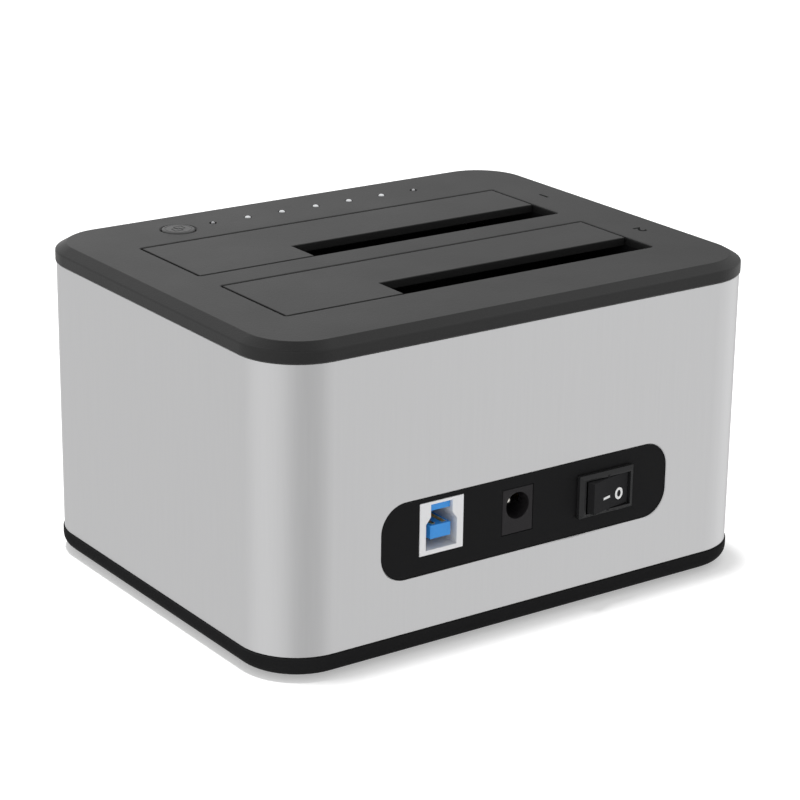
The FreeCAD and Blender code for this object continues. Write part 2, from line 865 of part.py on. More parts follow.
def switch_housing():
    """The moulded body with its bevelled bezel, open to the rear for the rocker."""
    bezel = block(switch_x - bezel_length / 2, switch_x + bezel_length / 2, panel_face, panel_face + bezel_proud,
                  switch_z - bezel_height / 2, switch_z + bezel_height / 2)
    front = [e for e in bezel.Edges if e.BoundBox.YMin > panel_face + bezel_proud - 1e-4]
    bezel = bezel.makeChamfer(bezel_chamfer, front)
    body = rear_facing(switch_body_length, switch_body_height, switch_body_corner,
                       panel_face - switch_body_depth, panel_face + bite, switch_x, switch_z)
    half_x = switch_recess_length / 2
    half_z = switch_recess_height / 2
    recess = block(switch_x - half_x, switch_x + half_x, panel_face - switch_body_depth + switch_floor,
                   panel_face + bezel_proud + 1, switch_z - half_z, switch_z + half_z)
    reach = half_z + trunnion_length
    sockets = post(switch_x, rocker_pivot_y, switch_z - reach, switch_z + reach,
                   trunnion_radius + trunnion_fit)
    return pierced(joined([bezel, body]), [recess, sockets])


def switch_rocker():
    """A two-faced rocker on trunnions, stored with the end nearer +X standing out."""
    half = rocker_half_length
    end = rocker_end_rise - rocker_pivot_rise
    mid = rocker_mid_rise - rocker_pivot_rise
    deep = -rocker_body_depth
    low = end - rocker_end_depth
    side = [(half, end), (0, mid), (-half, end), (-half, low),
            (-half / 2, deep), (half / 2, deep), (half, low)]
    z0 = switch_z - rocker_height / 2
    wire = Part.makePolygon([Vector(x, y, z0) for x, y in side + side[:1]])
    body = Part.Face(wire).extrude(Vector(0, 0, rocker_height))
    reach = rocker_height / 2 + rocker_gap + trunnion_length - trunnion_fit
    axle = post(0, 0, switch_z - reach, switch_z + reach, trunnion_radius)
    rocker = joined([body, axle])
    rocker.rotate(Vector(0, 0, 0), Vector(0, 0, 1), rocker_tilt)
    rocker.translate(Vector(switch_x, rocker_pivot_y, 0))
    return rocker


def switch_terminals():
    """Two blades out of the back of the switch, turned down to the board."""
    blades = []
    back = panel_face - switch_body_depth
    half = terminal_width / 2
    thin = terminal_thickness
    end = back - terminal_reach
    for side in (-1, 1):
        x = switch_x + side * terminal_x
        flat = block(x - half, x + half, end, back, switch_z - thin / 2, switch_z + thin / 2)
        leg = block(x - half, x + half, end, end + thin, board_top, switch_z)
        blades.append(joined([flat, leg]))
    return Part.makeCompound(blades)


# ---- main board and what stands on it -----------------------------------------------------

def main_board():
    board = block(-board_length / 2, board_length / 2, board_front_y, board_rear_y, board_under, board_top)
    upright = [e for e in board.Edges if e.BoundBox.ZLength > board_thickness / 2]
    board = board.makeChamfer(board_corner, upright)
    holes = [small_round(x, y, board_under - 1, board_top + 1, screw_radius + screw_hole_fit)
             for x, y in board_screw_places()]
    return pierced(board, holes)


def sata_y(bay):
    return bay_y0[bay] + bay_width - sata_from_bay_edge


def sata_slots(bay):
    """Start and end in X of the signal slot and the power slot, with contact counts."""
    total = sata_signal_slot + sata_slot_divider + sata_power_slot
    x0 = sata_x - total / 2
    x1 = x0 + sata_power_slot
    x2 = x1 + sata_slot_divider
    return [(x0, x1, sata_power_count), (x2, x2 + sata_signal_slot, sata_signal_count)]


def sata_socket(bay):
    y = sata_y(bay)
    body = block(sata_x - sata_length / 2, sata_x + sata_length / 2, y - sata_width / 2, y + sata_width / 2,
                 board_top, sata_top)
    top = flat_edges(body, sata_top)
    body = body.makeChamfer(sata_chamfer, top)
    cuts = []
    for x0, x1, count in sata_slots(bay):
        cuts.append(block(x0, x1, y - sata_slot_width / 2, y + sata_slot_width / 2,
                          sata_top - sata_slot_depth, sata_top + 1))
        cuts.append(block(x0, x0 + sata_key, y, y + sata_slot_width / 2 + sata_key,
                          sata_top - sata_slot_depth, sata_top + 1))
    return pierced(body, cuts)


def sata_contacts(bay):
    """Thin spring blades along the front wall of both slots."""
    y = sata_y(bay) - sata_slot_width / 2
    half = sata_contact_width / 2
    blades = []
    for x0, x1, count in sata_slots(bay):
        first = (x0 + x1) / 2 - (count - 1) * sata_contact_pitch / 2
        for i in range(count):
            x = first + i * sata_contact_pitch
            blades.append(block(x - half, x + half, y, y + sata_contact_thickness,
                                sata_top - sata_slot_depth, sata_top - sata_contact_setback))
    return Part.makeCompound(blades)


def bridge_chip():
    """The flat package that copies from one socket to the other, between the two."""
    half = bridge_size / 2
    top = board_top + bridge_height
    chip = block(-half, half, bridge_y - half, bridge_y + half, board_top, top)
    return chip.makeChamfer(chip_chamfer, flat_edges(chip, top))


def memory_chip():
    top = board_top + memory_height
    chip = block(memory_x - memory_length / 2, memory_x + memory_length / 2,
                 bridge_y - memory_width / 2, bridge_y + memory_width / 2, board_top, top)
    return chip.makeChamfer(chip_chamfer, flat_edges(chip, top))


def crystal():
    return rounded_block(crystal_length, crystal_width, crystal_width / 2 - chip_chamfer / 2,
                         board_top, board_top + crystal_height, crystal_x, bridge_y)


def capacitors():
    """Upright cans where nothing stands above them."""
    return Part.makeCompound([small_round(x, y, board_top, board_top + capacitor_height, capacitor_radius)
                              for x, y in capacitor_places])


def inductors():
    """One moulded power inductor beside each data socket."""
    coils = []
    half = inductor_size / 2
    for bay in bay_y0:
        y = sata_y(bay)
        coil = block(inductor_x - half, inductor_x + half, y - half, y + half,
                     board_top, board_top + inductor_height)
        upright = [e for e in coil.Edges if e.BoundBox.ZLength > inductor_height / 2]
        coils.append(coil.makeChamfer(inductor_chamfer, upright))
    return Part.makeCompound(coils)


# ---- lights, copy button and their board --------------------------------------------------

def led_board():
    board = block(top_board_left_x, top_board_right_x, top_board_front_y, top_board_rear_y,
                  top_board_under, top_board_top)
    holes = [small_round(x, y, top_board_under - 1, top_board_top + 1, small_screw_radius + screw_hole_fit)
             for x, y in top_board_screw_places()]
    return pierced(board, holes)


def led_chips():
    chips = []
    for x, y in light_places():
        chips.append(block(x - led_length / 2, x + led_length / 2, y - led_width / 2, y + led_width / 2,
                           top_board_top, top_board_top + led_height))
    return Part.makeCompound(chips)


def light_pipes():
    """Clear guides: a round tip in the cover on a square shaft that stands just above its light."""
    guides = []
    half = light_shaft_width / 2
    for x, y in light_places():
        shaft_top = cover_under - light_fit
        shaft = block(x - half, x + half, y - half, y + half,
                      top_board_top + led_height + light_shaft_gap, shaft_top)
        tip = small_round(x, y, shaft_top - bite, cover_top, light_radius)
        guides.append(shaft.fuse(tip).removeSplitter())
    return Part.makeCompound(guides)


def plunger_top():
    return top_board_top + tact_height + plunger_rise


def clone_button():
    """The round key: a disc in the cover's hole, on a flange and a stem under the cover."""
    head_top = cover_top + button_proud
    flange_top = cover_under - button_flange_fit
    head = post(button_x, button_y, flange_top - bite, head_top, button_radius)
    flange_under = flange_top - button_flange_height
    flange = post(button_x, button_y, flange_under, flange_top, button_radius + button_gap + button_flange)
    stem = post(button_x, button_y, plunger_top(), flange_under + bite, button_stem_radius)
    return joined([head, flange, stem])


def tact_switch():
    half = tact_size / 2
    top = top_board_top + tact_height
    body = block(button_x - half, button_x + half, button_y - half, button_y + half, top_board_top, top)
    well = post(button_x, button_y, top - plunger_depth, top + 1, plunger_radius + plunger_fit)
    return body.cut(well)


def tact_plunger():
    bottom = top_board_top + tact_height - plunger_depth + plunger_travel_room
    return post(button_x, button_y, bottom, plunger_top(), plunger_radius)


def flex_ends():
    """Heights between which the flexible lead shows, and its Y at the top and the bottom."""
    high = top_board_under - flex_socket_height
    low = board_top + flex_socket_height
    return low, high, flex_top_y - flex_shift, flex_top_y


def flex_sockets(y, z0, z1, mouth_z0, mouth_z1):
    half = flex_width / 2 + flex_socket_end
    half_mouth = flex_width / 2 + flex_socket_fit
    body = block(flex_x - half, flex_x + half, y - flex_socket_width / 2, y + flex_socket_width / 2, z0, z1)
    mouth = block(flex_x - half_mouth, flex_x + half_mouth, y - flex_thickness, y + flex_thickness,
                  mouth_z0, mouth_z1)
    return body.cut(mouth)


def flex_socket_top():
    low, high, low_y, high_y = flex_ends()
    return flex_sockets(high_y, high, top_board_under, high - 1, high + flex_insertion)


def flex_socket_main():
    low, high, low_y, high_y = flex_ends()
    return flex_sockets(low_y, board_top, low, low - flex_insertion, low + 1)


def flex_cable():
    """A flat lead with one gentle S-bend between two straight ends."""
    low, high, low_y, high_y = flex_ends()
    radius = flex_bend_radius
    angle = math.acos(1 - flex_shift / (2 * radius))
    rise = radius * math.sin(angle)
    middle = (low + high) / 2
    middle_y = (low_y + high_y) / 2
    bottom = Vector(0, low_y, low - flex_insertion + flex_thickness)
    bend_start = Vector(0, low_y, middle - rise)
    bend_middle = Vector(0, middle_y, middle)
    bend_end = Vector(0, high_y, middle + rise)
    top = Vector(0, high_y, high + flex_insertion - flex_thickness)
    half_turn = angle / 2
    sag_y = radius * (1 - math.cos(half_turn))
    sag_z = radius * math.sin(half_turn)
    first = Part.Arc(bend_start, Vector(0, low_y + sag_y, middle - rise + sag_z), bend_middle)
    second = Part.Arc(bend_middle, Vector(0, high_y - sag_y, middle + rise - sag_z), bend_end)
    path = Part.Wire([Part.makeLine(bottom, bend_start), first.toShape(), second.toShape(),
                      Part.makeLine(bend_end, top)])
    half = flex_width / 2
    thin = flex_thickness / 2
    section = Part.makePolygon([Vector(sx * half, low_y + sy * thin, bottom.z)
                                for sx, sy in ((-1, -1), (1, -1), (1, 1), (-1, 1), (-1, -1))])
    lead = path.makePipeShell([section], True, False)
    lead.translate(Vector(flex_x, 0, 0))
    return lead


# ---- screws -------------------------------------------------------------------------------

def screw(x, y, head_z, points_up, head_radius, head_height, radius, length):
    """A pan-head screw whose head bears at head_z, with a cross-shaped recess."""
    up = 1 if points_up else -1
    crown = head_z - up * head_height
    head = small_round(x, y, head_z, crown, head_radius)
    shank = small_round(x, y, head_z, head_z + up * length, radius)
    half = head_radius * cross_length_share / 2
    arm = head_radius * cross_width_share / 2
    inner = crown + up * head_height * cross_depth_share
    z0 = min(inner, crown - up)
    z1 = max(inner, crown - up)
    recess = block(x - half, x + half, y - arm, y + arm, z0, z1).fuse(
        block(x - arm, x + arm, y - half, y + half, z0, z1))
    return head.fuse(shank).removeSplitter().cut(recess)


def case_screws():
    """Up through the base's columns and the bay frame's ears into the cover."""
    length = column_seat + ear_thickness + screw_grip - screw_end_gap
    return Part.makeCompound([screw(x, y, ear_z - column_seat, True, screw_head_radius, screw_head_height,
                                    screw_radius, length) for x, y in column_places()])


def board_screws():
    length = board_thickness + screw_grip - screw_end_gap
    return Part.makeCompound([screw(x, y, board_top, False, screw_head_radius, screw_head_height,
                                    screw_radius, length) for x, y in board_screw_places()])


def led_board_screws():
    length = top_board_thickness + small_screw_grip - screw_end_gap
    return Part.makeCompound([screw(x, y, top_board_under, True, small_screw_head_radius,
                                    small_screw_head_height, small_screw_radius, length)
                              for x, y in top_board_screw_places()])


# ---- the whole object ---------------------------------------------------------------------

def build():
    nodes = {
        "sleeve": sleeve(),
        "top_cover": top_cover(),
        "bay_frame": bay_frame(),
        "base_plate": base_plate(),
        "rubber_feet": rubber_feet(),
        "case_screws": case_screws(),
        "board_screws": board_screws(),
        "io_panel": io_panel(),
        "usb_shell": usb_shell(),
        "usb_housing": usb_housing(),
        "usb_tongues": usb_tongues(),
        "usb_contacts": usb_contacts(),
        "jack_body": jack_body(),
        "jack_centre_pin": jack_centre_pin(),
        "jack_contact": jack_contact(),
        "switch_housing": switch_housing(),
        "switch_rocker": switch_rocker(),
        "switch_terminals": switch_terminals(),
        "main_board": main_board(),
        "bridge_chip": bridge_chip(),
        "memory_chip": memory_chip(),
        "crystal": crystal(),
        "capacitors": capacitors(),
        "inductors": inductors(),
        "led_board": led_board(),
        "led_board_screws": led_board_screws(),
        "led_chips": led_chips(),
        "light_pipes": light_pipes(),
        "clone_button": clone_button(),
        "tact_switch": tact_switch(),
        "tact_plunger": tact_plunger(),
        "flex_cable": flex_cable(),
        "flex_socket_top": flex_socket_top(),
        "flex_socket_main": flex_socket_main(),
    }
    for bay in bay_y0:
        nodes["flap_" + bay] = flap(bay)
        nodes["hinge_pin_" + bay] = hinge_pin(bay)
        nodes["flap_spring_" + bay] = flap_spring(bay)
        nodes["sata_socket_" + bay] = sata_socket(bay)
        nodes["sata_contacts_" + bay] = sata_contacts(bay)
    return nodes


os.makedirs("parts", exist_ok=True)
for name, shape in build().items():
    write(name, shape)
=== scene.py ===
import json
import math

import bmesh
import bpy
from mathutils import Matrix, Vector


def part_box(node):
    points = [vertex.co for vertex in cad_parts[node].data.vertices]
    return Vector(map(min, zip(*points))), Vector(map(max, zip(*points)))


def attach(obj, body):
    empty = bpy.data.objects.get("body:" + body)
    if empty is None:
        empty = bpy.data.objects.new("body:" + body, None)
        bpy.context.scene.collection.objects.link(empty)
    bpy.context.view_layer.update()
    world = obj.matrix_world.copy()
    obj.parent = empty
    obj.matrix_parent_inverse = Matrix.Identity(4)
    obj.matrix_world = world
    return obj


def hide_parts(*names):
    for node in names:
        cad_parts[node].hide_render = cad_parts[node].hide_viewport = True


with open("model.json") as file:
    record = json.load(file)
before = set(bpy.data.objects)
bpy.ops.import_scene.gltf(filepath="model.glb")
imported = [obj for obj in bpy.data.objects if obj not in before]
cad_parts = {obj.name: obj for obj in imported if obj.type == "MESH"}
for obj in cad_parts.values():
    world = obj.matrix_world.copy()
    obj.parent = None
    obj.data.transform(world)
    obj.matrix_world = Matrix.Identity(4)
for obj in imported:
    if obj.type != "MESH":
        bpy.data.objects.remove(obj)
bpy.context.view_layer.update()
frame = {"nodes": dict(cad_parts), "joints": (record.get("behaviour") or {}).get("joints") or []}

# ---- base plate ------------------------------------------------------------------------------
# The dark base is one moulding in black ABS with a rounded lower edge. The sleeve sits down over
# its lip, four hollow columns take the case screws, and posts and ribs carry the main board.

MM = 0.001
sleeve_low, sleeve_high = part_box("sleeve")
plate_low, plate_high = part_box("base_plate")
board_low, board_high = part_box("main_board")
middle_y = (sleeve_low.y + sleeve_high.y) / 2
half_length = (sleeve_high.x - sleeve_low.x) / 2
half_depth = (sleeve_high.y - sleeve_low.y) / 2
corner_radius = 14.7 * MM
sleeve_wall = 1.6 * MM
slip_fit = 0.15 * MM
lip_wall = 1.5 * MM
lip_height = 4.0 * MM
base_overhang = 0.3 * MM
base_edge = 3.1 * MM
base_floor = 2.5 * MM
rim_break = 0.2 * MM
column_x = 60.3 * MM
column_y = 36.0 * MM
column_radius = 4.3 * MM
column_bore = 3.1 * MM
column_seat = 2.4 * MM
screw_hole = 1.7 * MM
hole_break = 0.3 * MM
seam = 0.02 * MM
post_x = 48.0 * MM
post_y = middle_y + 1.2 * MM
post_radius = 3.0 * MM
post_bore = 0.9 * MM
rib_half_length = 6.0 * MM
rib_half_width = 0.75 * MM
rib_inset = 6.0 * MM
cutter_reach = 1.0 * MM


def rounded_loop(half_x, half_y, radius, z, centre=(0.0, 0.0), steps=14):
    """Points round a rectangle with round corners, at height z."""
    points = []
    for quarter, (sx, sy) in enumerate(((1, 1), (-1, 1), (-1, -1), (1, -1))):
        corner_x = centre[0] + sx * (half_x - radius)
        corner_y = centre[1] + sy * (half_y - radius)
        for i in range(steps + 1):
            turn = math.radians(90) * (quarter + i / steps)
            points.append(Vector((corner_x + radius * math.cos(turn),
                                  corner_y + radius * math.sin(turn), z)))
    return points


def casing_loop(offset, z):
    """The casing's outline at height z, grown by offset."""
    return rounded_loop(half_length + offset, half_depth + offset, corner_radius + offset, z,
                        centre=(0.0, middle_y))


def add_loops(bm, loops, closed=False):
    """Skins a row of loops with equal counts, with a face at each end or joined end to end."""
    rings = [[bm.verts.new(p) for p in loop] for loop in loops]
    pairs = list(zip(rings, rings[1:]))
    if closed:
        pairs.append((rings[-1], rings[0]))
    for a, b in pairs:
        for i in range(len(a)):
            j = (i + 1) % len(a)
            bm.faces.new((a[i], a[j], b[j], b[i]))
    if not closed:
        bm.faces.new(list(reversed(rings[0])))
        bm.faces.new(rings[-1])


def add_turned(bm, profile, x, y, steps=32, closed=True):
    """Turns a profile of (radius, height) points about the upright line through x, y."""
    loops = []
    for radius, z in profile:
        loop = []
        for i in range(steps):
            turn = 2 * math.pi * i / steps
            loop.append(Vector((x + radius * math.cos(turn), y + radius * math.sin(turn), z)))
        loops.append(loop)
    add_loops(bm, loops, closed=closed)


def add_tube(bm, bore, radius, bottom, top, x, y):
    """An upright post or boss with a bore down it."""
    add_turned(bm, [(bore, bottom), (bore, top), (radius, top), (radius, bottom)], x, y)


def add_block(bm, low, high):
    """A square-edged block between its lowest and highest corners."""
    loops = []
    for z in (low[2], high[2]):
        loops.append([Vector((low[0], low[1], z)), Vector((high[0], low[1], z)),
                      Vector((high[0], high[1], z)), Vector((low[0], high[1], z))])
    add_loops(bm, loops)


def smooth_mesh(mesh, angle):
    """Shades a mesh smooth, but for edges that turn more than angle."""
    mesh.shade_smooth()
    mesh.set_sharp_from_angle(angle=math.radians(angle))


def new_piece(name, bm, smooth_angle=32):
    """Makes an object of a finished bmesh."""
    bmesh.ops.recalc_face_normals(bm, faces=bm.faces)
    mesh = bpy.data.meshes.new(name)
    bm.to_mesh(mesh)
    bm.free()
    smooth_mesh(mesh, smooth_angle)
    piece = bpy.data.objects.new(name, mesh)
    bpy.context.scene.collection.objects.link(piece)
    return piece


def cut_away(piece, cutter):
    """Cuts one closed shape out of a piece for good, and drops the cutter."""
    cutting = piece.modifiers.new("cut", "BOOLEAN")
    cutting.operation = "DIFFERENCE"
    cutting.solver = "EXACT"
    cutting.object = cutter
    evaluated = piece.evaluated_get(bpy.context.evaluated_depsgraph_get())
    mesh = bpy.data.meshes.new_from_object(evaluated)
    piece.modifiers.clear()
    piece.data = mesh
    bpy.data.objects.remove(cutter)


def set_material(piece, material):
    """Gives a new piece its one material."""
    piece.data.materials.clear()
    piece.data.materials.append(material)


def new_material(name):
    """A node material, with its nodes, its links and its surface shader."""
    material = bpy.data.materials.new(name)
    material.use_nodes = True
    nodes = material.node_tree.nodes
    return material, nodes, material.node_tree.links, nodes["Principled BSDF"]


def add_noise(nodes, links, place, scale, detail=2):
    """A soft uneven pattern, read at a place on the piece."""
    noise = nodes.new("ShaderNodeTexNoise")
    noise.inputs["Scale"].default_value = scale
    noise.inputs["Detail"].default_value = detail
    links.new(place, noise.inputs["Vector"])
    return noise.outputs["Fac"]


def add_spread(nodes, links, pattern, low, high):
    """Spreads a pattern between two values."""
    spread = nodes.new("ShaderNodeMapRange")
    spread.inputs["To Min"].default_value = low
    spread.inputs["To Max"].default_value = high
    links.new(pattern, spread.inputs["Value"])
    return spread.outputs["Result"]


def add_bump(nodes, links, pattern, strength, depth):
    """Raises a pattern from the surface, and gives that to the surface shader."""
    bump = nodes.new("ShaderNodeBump")
    bump.inputs["Strength"].default_value = strength
    bump.inputs["Distance"].default_value = depth
    links.new(pattern, bump.inputs["Height"])
    links.new(bump.outputs["Normal"], nodes["Principled BSDF"].inputs["Normal"])
    return bump


def moulded_plastic(name, colour, roughness=0.5, specular=0.4, grain=0.35 * MM, relief=0.02,
                    mottling=0.06):
    """A moulded plastic with a fine spark-eroded grain, a little uneven in gloss and colour."""
    cloud_scale = 45
    gloss_spread = 0.05
    material, nodes, links, shader = new_material(name)
    shader.inputs["Specular IOR Level"].default_value = specular
    place = nodes.new("ShaderNodeTexCoord").outputs["Object"]
    grains = add_noise(nodes, links, place, 1 / grain, detail=3)
    add_bump(nodes, links, grains, strength=relief, depth=grain)
    cloud = add_noise(nodes, links, place, cloud_scale, detail=4)
    tint = add_spread(nodes, links, cloud, 1 - mottling, 1 + mottling)
    shade = nodes.new("ShaderNodeVectorMath")
    shade.operation = "SCALE"
    shade.inputs[0].default_value = colour
    links.new(tint, shade.inputs["Scale"])
    links.new(shade.outputs["Vector"], shader.inputs["Base Color"])
    gloss = add_spread(nodes, links, cloud, roughness - gloss_spread, roughness + gloss_spread)
    links.new(gloss, shader.inputs["Roughness"])
    return material


base_bottom = plate_low.z
base_inside = base_bottom + base_floor
rim_top = sleeve_low.z
lip_out = -(sleeve_wall + slip_fit)
lip_in = lip_out - lip_wall
edge_steps = 7
base_loops = []
for i in range(edge_steps + 1):
    lean = math.radians(90) * i / edge_steps
    base_loops.append(casing_loop(base_overhang - base_edge * (1 - math.sin(lean)),
                                  base_bottom + base_edge * (1 - math.cos(lean))))
for offset, z in ((base_overhang, rim_top - rim_break), (base_overhang - rim_break, rim_top),
                  (lip_out, rim_top), (lip_out, rim_top + lip_height),
                  (lip_in, rim_top + lip_height), (lip_in, base_inside)):
    base_loops.append(casing_loop(offset, z))
bm = bmesh.new()
add_loops(bm, base_loops)
base_moulding = new_piece("base_moulding", bm)

column_places = [(sx * column_x, middle_y + sy * column_y) for sx in (-1, 1) for sy in (-1, 1)]
hole_profile = [(column_bore, base_bottom - cutter_reach), (column_bore, base_inside + cutter_reach)]
bm = bmesh.new()
for x, y in column_places:
    add_turned(bm, hole_profile, x, y, closed=False)
cut_away(base_moulding, new_piece("column_cutter", bm))

column_top = plate_high.z
column_profile = [
    (column_bore + hole_break, base_bottom + seam),
    (column_bore, base_bottom + hole_break),
    (column_bore, column_top - column_seat),
    (screw_hole, column_top - column_seat),
    (screw_hole, column_top),
    (column_radius, column_top),
    (column_radius, base_inside),
]
bm = bmesh.new()
for x, y in column_places:
    add_turned(bm, column_profile, x, y)
for side in (-1, 1):
    add_tube(bm, post_bore, post_radius, base_inside, board_low.z, side * post_x, post_y)
    for y in (board_low.y + rib_inset, board_high.y - rib_inset):
        add_block(bm, (side * post_x - rib_half_length, y - rib_half_width, base_inside),
                  (side * post_x + rib_half_length, y + rib_half_width, board_low.z))
base_columns = new_piece("base_columns", bm)

base_black = moulded_plastic("base_black", (0.0168, 0.0168, 0.0173), roughness=0.48, specular=0.005,
                             relief=0.03)
for piece in (base_moulding, base_columns):
    set_material(piece, base_black)
    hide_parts("base_plate")
    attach(piece, "casing")

# ---- rubber feet -----------------------------------------------------------------------------
# Four round pads of black rubber, moulded with a soft rim and slightly dished underneath. They
# are stuck to the underside near its corners.

foot_low, foot_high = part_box("rubber_feet")
foot_radius = 5.8 * MM
foot_rim = 0.35 * MM
dish_radius = 0.4 * foot_radius
dish_depth = 0.15 * MM
slope_radius = 0.8 * foot_radius
slope_depth = 0.1 * MM
foot_profile = [
    (dish_radius, foot_low.z + dish_depth),
    (slope_radius, foot_low.z + slope_depth),
    (foot_radius - 2 * foot_rim, foot_low.z),
    (foot_radius - foot_rim, foot_low.z),
    (foot_radius, foot_low.z + foot_rim),
    (foot_radius, foot_high.z),
]
bm = bmesh.new()
for x in (foot_low.x + foot_radius, foot_high.x - foot_radius):
    for y in (foot_low.y + foot_radius, foot_high.y - foot_radius):
        add_turned(bm, foot_profile, x, y, steps=48, closed=False)
feet = new_piece("foot_pads", bm)
foot_rubber = moulded_plastic("foot_rubber_black", (0.018, 0.018, 0.018), roughness=0.8,
                              specular=0.2, grain=0.2 * MM, relief=0.06)
set_material(feet, foot_rubber)
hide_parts("rubber_feet")
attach(feet, "casing")

# ---- main board and its parts ----------------------------------------------------------------
# A green glass-fibre board on two screws and four ribs. It carries the data sockets, the bridge
# chip, memory, crystal, capacitors and inductors, which are seen only through the open bays.


def circuit_board(name):
    """Green solder mask with faint tracks, and a scatter of tinned holes."""
    hole_radius = 0.16
    material = moulded_plastic(name, (0.012, 0.10, 0.045), roughness=0.35, specular=0.5,
                               grain=0.8 * MM)
    nodes = material.node_tree.nodes
    links = material.node_tree.links
    place = nodes.new("ShaderNodeTexCoord").outputs["Object"]
    tracks = nodes.new("ShaderNodeTexBrick")
    tracks.inputs["Scale"].default_value = 220
    tracks.inputs["Mortar Size"].default_value = 0.12
    tracks.inputs["Color1"].default_value = (0.010, 0.085, 0.038, 1)
    tracks.inputs["Color2"].default_value = (0.014, 0.11, 0.05, 1)
    tracks.inputs["Mortar"].default_value = (0.022, 0.16, 0.07, 1)
    links.new(place, tracks.inputs["Vector"])
    holes = nodes.new("ShaderNodeTexVoronoi")
    holes.inputs["Scale"].default_value = 260
    links.new(place, holes.inputs["Vector"])
    dots = nodes.new("ShaderNodeMath")
    dots.operation = "LESS_THAN"
    dots.inputs[1].default_value = hole_radius
    links.new(holes.outputs["Distance"], dots.inputs[0])
    blend = nodes.new("ShaderNodeMix")
    blend.data_type = "RGBA"
    blend.inputs["B"].default_value = (0.45, 0.46, 0.44, 1)
    links.new(dots.outputs["Value"], blend.inputs["Factor"])
    links.new(tracks.outputs["Color"], blend.inputs["A"])
    links.new(blend.outputs["Result"], nodes["Principled BSDF"].inputs["Base Color"])
    return material


def add_stretch(nodes, links, place, along):
    """Stretches the pattern that is read there along one direction or more."""
    stretch = nodes.new("ShaderNodeMapping")
    stretch.inputs["Scale"].default_value = along
    links.new(place, stretch.inputs["Vector"])
    return stretch.outputs["Vector"]


def add_tones(nodes, links, pattern, dark, light):
    """Colours a pattern from a darker tone to a lighter one."""
    tones = nodes.new("ShaderNodeValToRGB")
    tones.color_ramp.elements[0].color = (*dark, 1)
    tones.color_ramp.elements[1].color = (*light, 1)
    links.new(pattern, tones.inputs["Fac"])
    return tones.outputs["Color"]


def plated_metal(name, colour, roughness=0.3, along=(1.0, 1.0, 14.0)):
    """A plated or drawn metal with fine lines along one direction."""
    line_scale = 900
    tone_spread = 0.08
    dark = [(1 - tone_spread) * part for part in colour]
    light = [min(1.0, (1 + tone_spread) * part) for part in colour]
    material, nodes, links, shader = new_material(name)
    shader.inputs["Metallic"].default_value = 1.0
    place = nodes.new("ShaderNodeTexCoord").outputs["Object"]
    drawn = add_stretch(nodes, links, place, along)
    lines = add_noise(nodes, links, drawn, line_scale, detail=4)
    gloss = add_spread(nodes, links, lines, low=roughness - 0.08, high=roughness + 0.1)
    links.new(gloss, shader.inputs["Roughness"])
    links.new(add_tones(nodes, links, lines, dark, light), shader.inputs["Base Color"])
    add_bump(nodes, links, lines, strength=0.03, depth=0.1 * MM)
    return material


def even_shading(piece, keep_sharp):
    """Lets the large faces set the shading of the small ones beside them."""
    even = piece.modifiers.new("even", "WEIGHTED_NORMAL")
    even.keep_sharp = keep_sharp
    even.weight = 100


def ease_edges(piece, width):
    """Breaks the sharp edges of a moulding or a machined part."""
    weld = piece.modifiers.new("weld", "WELD")
    weld.merge_threshold = 0.005 * MM
    bevel = piece.modifiers.new("edges", "BEVEL")
    bevel.width = width
    bevel.segments = 3
    bevel.limit_method = "ANGLE"
    bevel.angle_limit = math.radians(32)
    even_shading(piece, keep_sharp=False)


def finish_node(node, material, edges=None):
    """Gives a carried-over part its finish and, where it is seen close, broken edges."""
    piece = frame["nodes"][node]
    if not piece.material_slots:
        piece.data.materials.append(material)
    for material_slot in piece.material_slots:
        material_slot.material = material
    if edges:
        ease_edges(piece, edges)


board_green = circuit_board("board_green")
chip_black = moulded_plastic("chip_black", (0.02, 0.02, 0.022), roughness=0.6, grain=0.15 * MM,
                             relief=0.05)
socket_black = moulded_plastic("socket_black", (0.012, 0.012, 0.012), roughness=0.45, specular=0.3)
gilt = plated_metal("gilt_contacts", (0.78, 0.52, 0.16), roughness=0.28)
tinned = plated_metal("tinned_steel_sheet", (0.60, 0.60, 0.60), roughness=0.34)
can_metal = plated_metal("can_metal", (0.66, 0.66, 0.68), roughness=0.3, along=(1.0, 1.0, 0.1))
finish_node("main_board", board_green)
for chip in ("bridge_chip", "memory_chip", "inductors"):
    finish_node(chip, chip_black, edges=0.08 * MM)
finish_node("crystal", tinned, edges=0.15 * MM)
finish_node("capacitors", can_metal, edges=0.3 * MM)
for bay in ("front", "rear"):
    finish_node("sata_socket_" + bay, socket_black, edges=0.1 * MM)
    finish_node("sata_contacts_" + bay, gilt)

# ---- rear insert -----------------------------------------------------------------------------
# A black moulded insert that fills the opening in the sleeve, just below the metal's face. Its
# flange stands in the base, and its windows fit round the sockets and the switch.

insert_black = moulded_plastic("insert_black", (0.0095, 0.0095, 0.010), roughness=0.42,
                               specular=0.06, relief=0.02)
finish_node("io_panel", insert_black, edges=0.12 * MM)

# ---- USB socket ------------------------------------------------------------------------------
# A type B socket of the later, taller kind: a white housing in a folded tinned jacket, a blue
# inner moulding with two tongues, and gold-flashed contacts along them.

usb_white = moulded_plastic("usb_white", (0.82, 0.82, 0.83), roughness=0.35, specular=0.4,
                            grain=0.25 * MM, relief=0.01, mottling=0.02)
usb_blue = moulded_plastic("usb_blue", (0.034, 0.29, 0.76), roughness=0.32, specular=0.4,
                           grain=0.25 * MM, relief=0.01, mottling=0.03)
finish_node("usb_shell", tinned)
finish_node("usb_housing", usb_white, edges=0.12 * MM)
finish_node("usb_tongues", usb_blue, edges=0.1 * MM)
finish_node("usb_contacts", gilt)

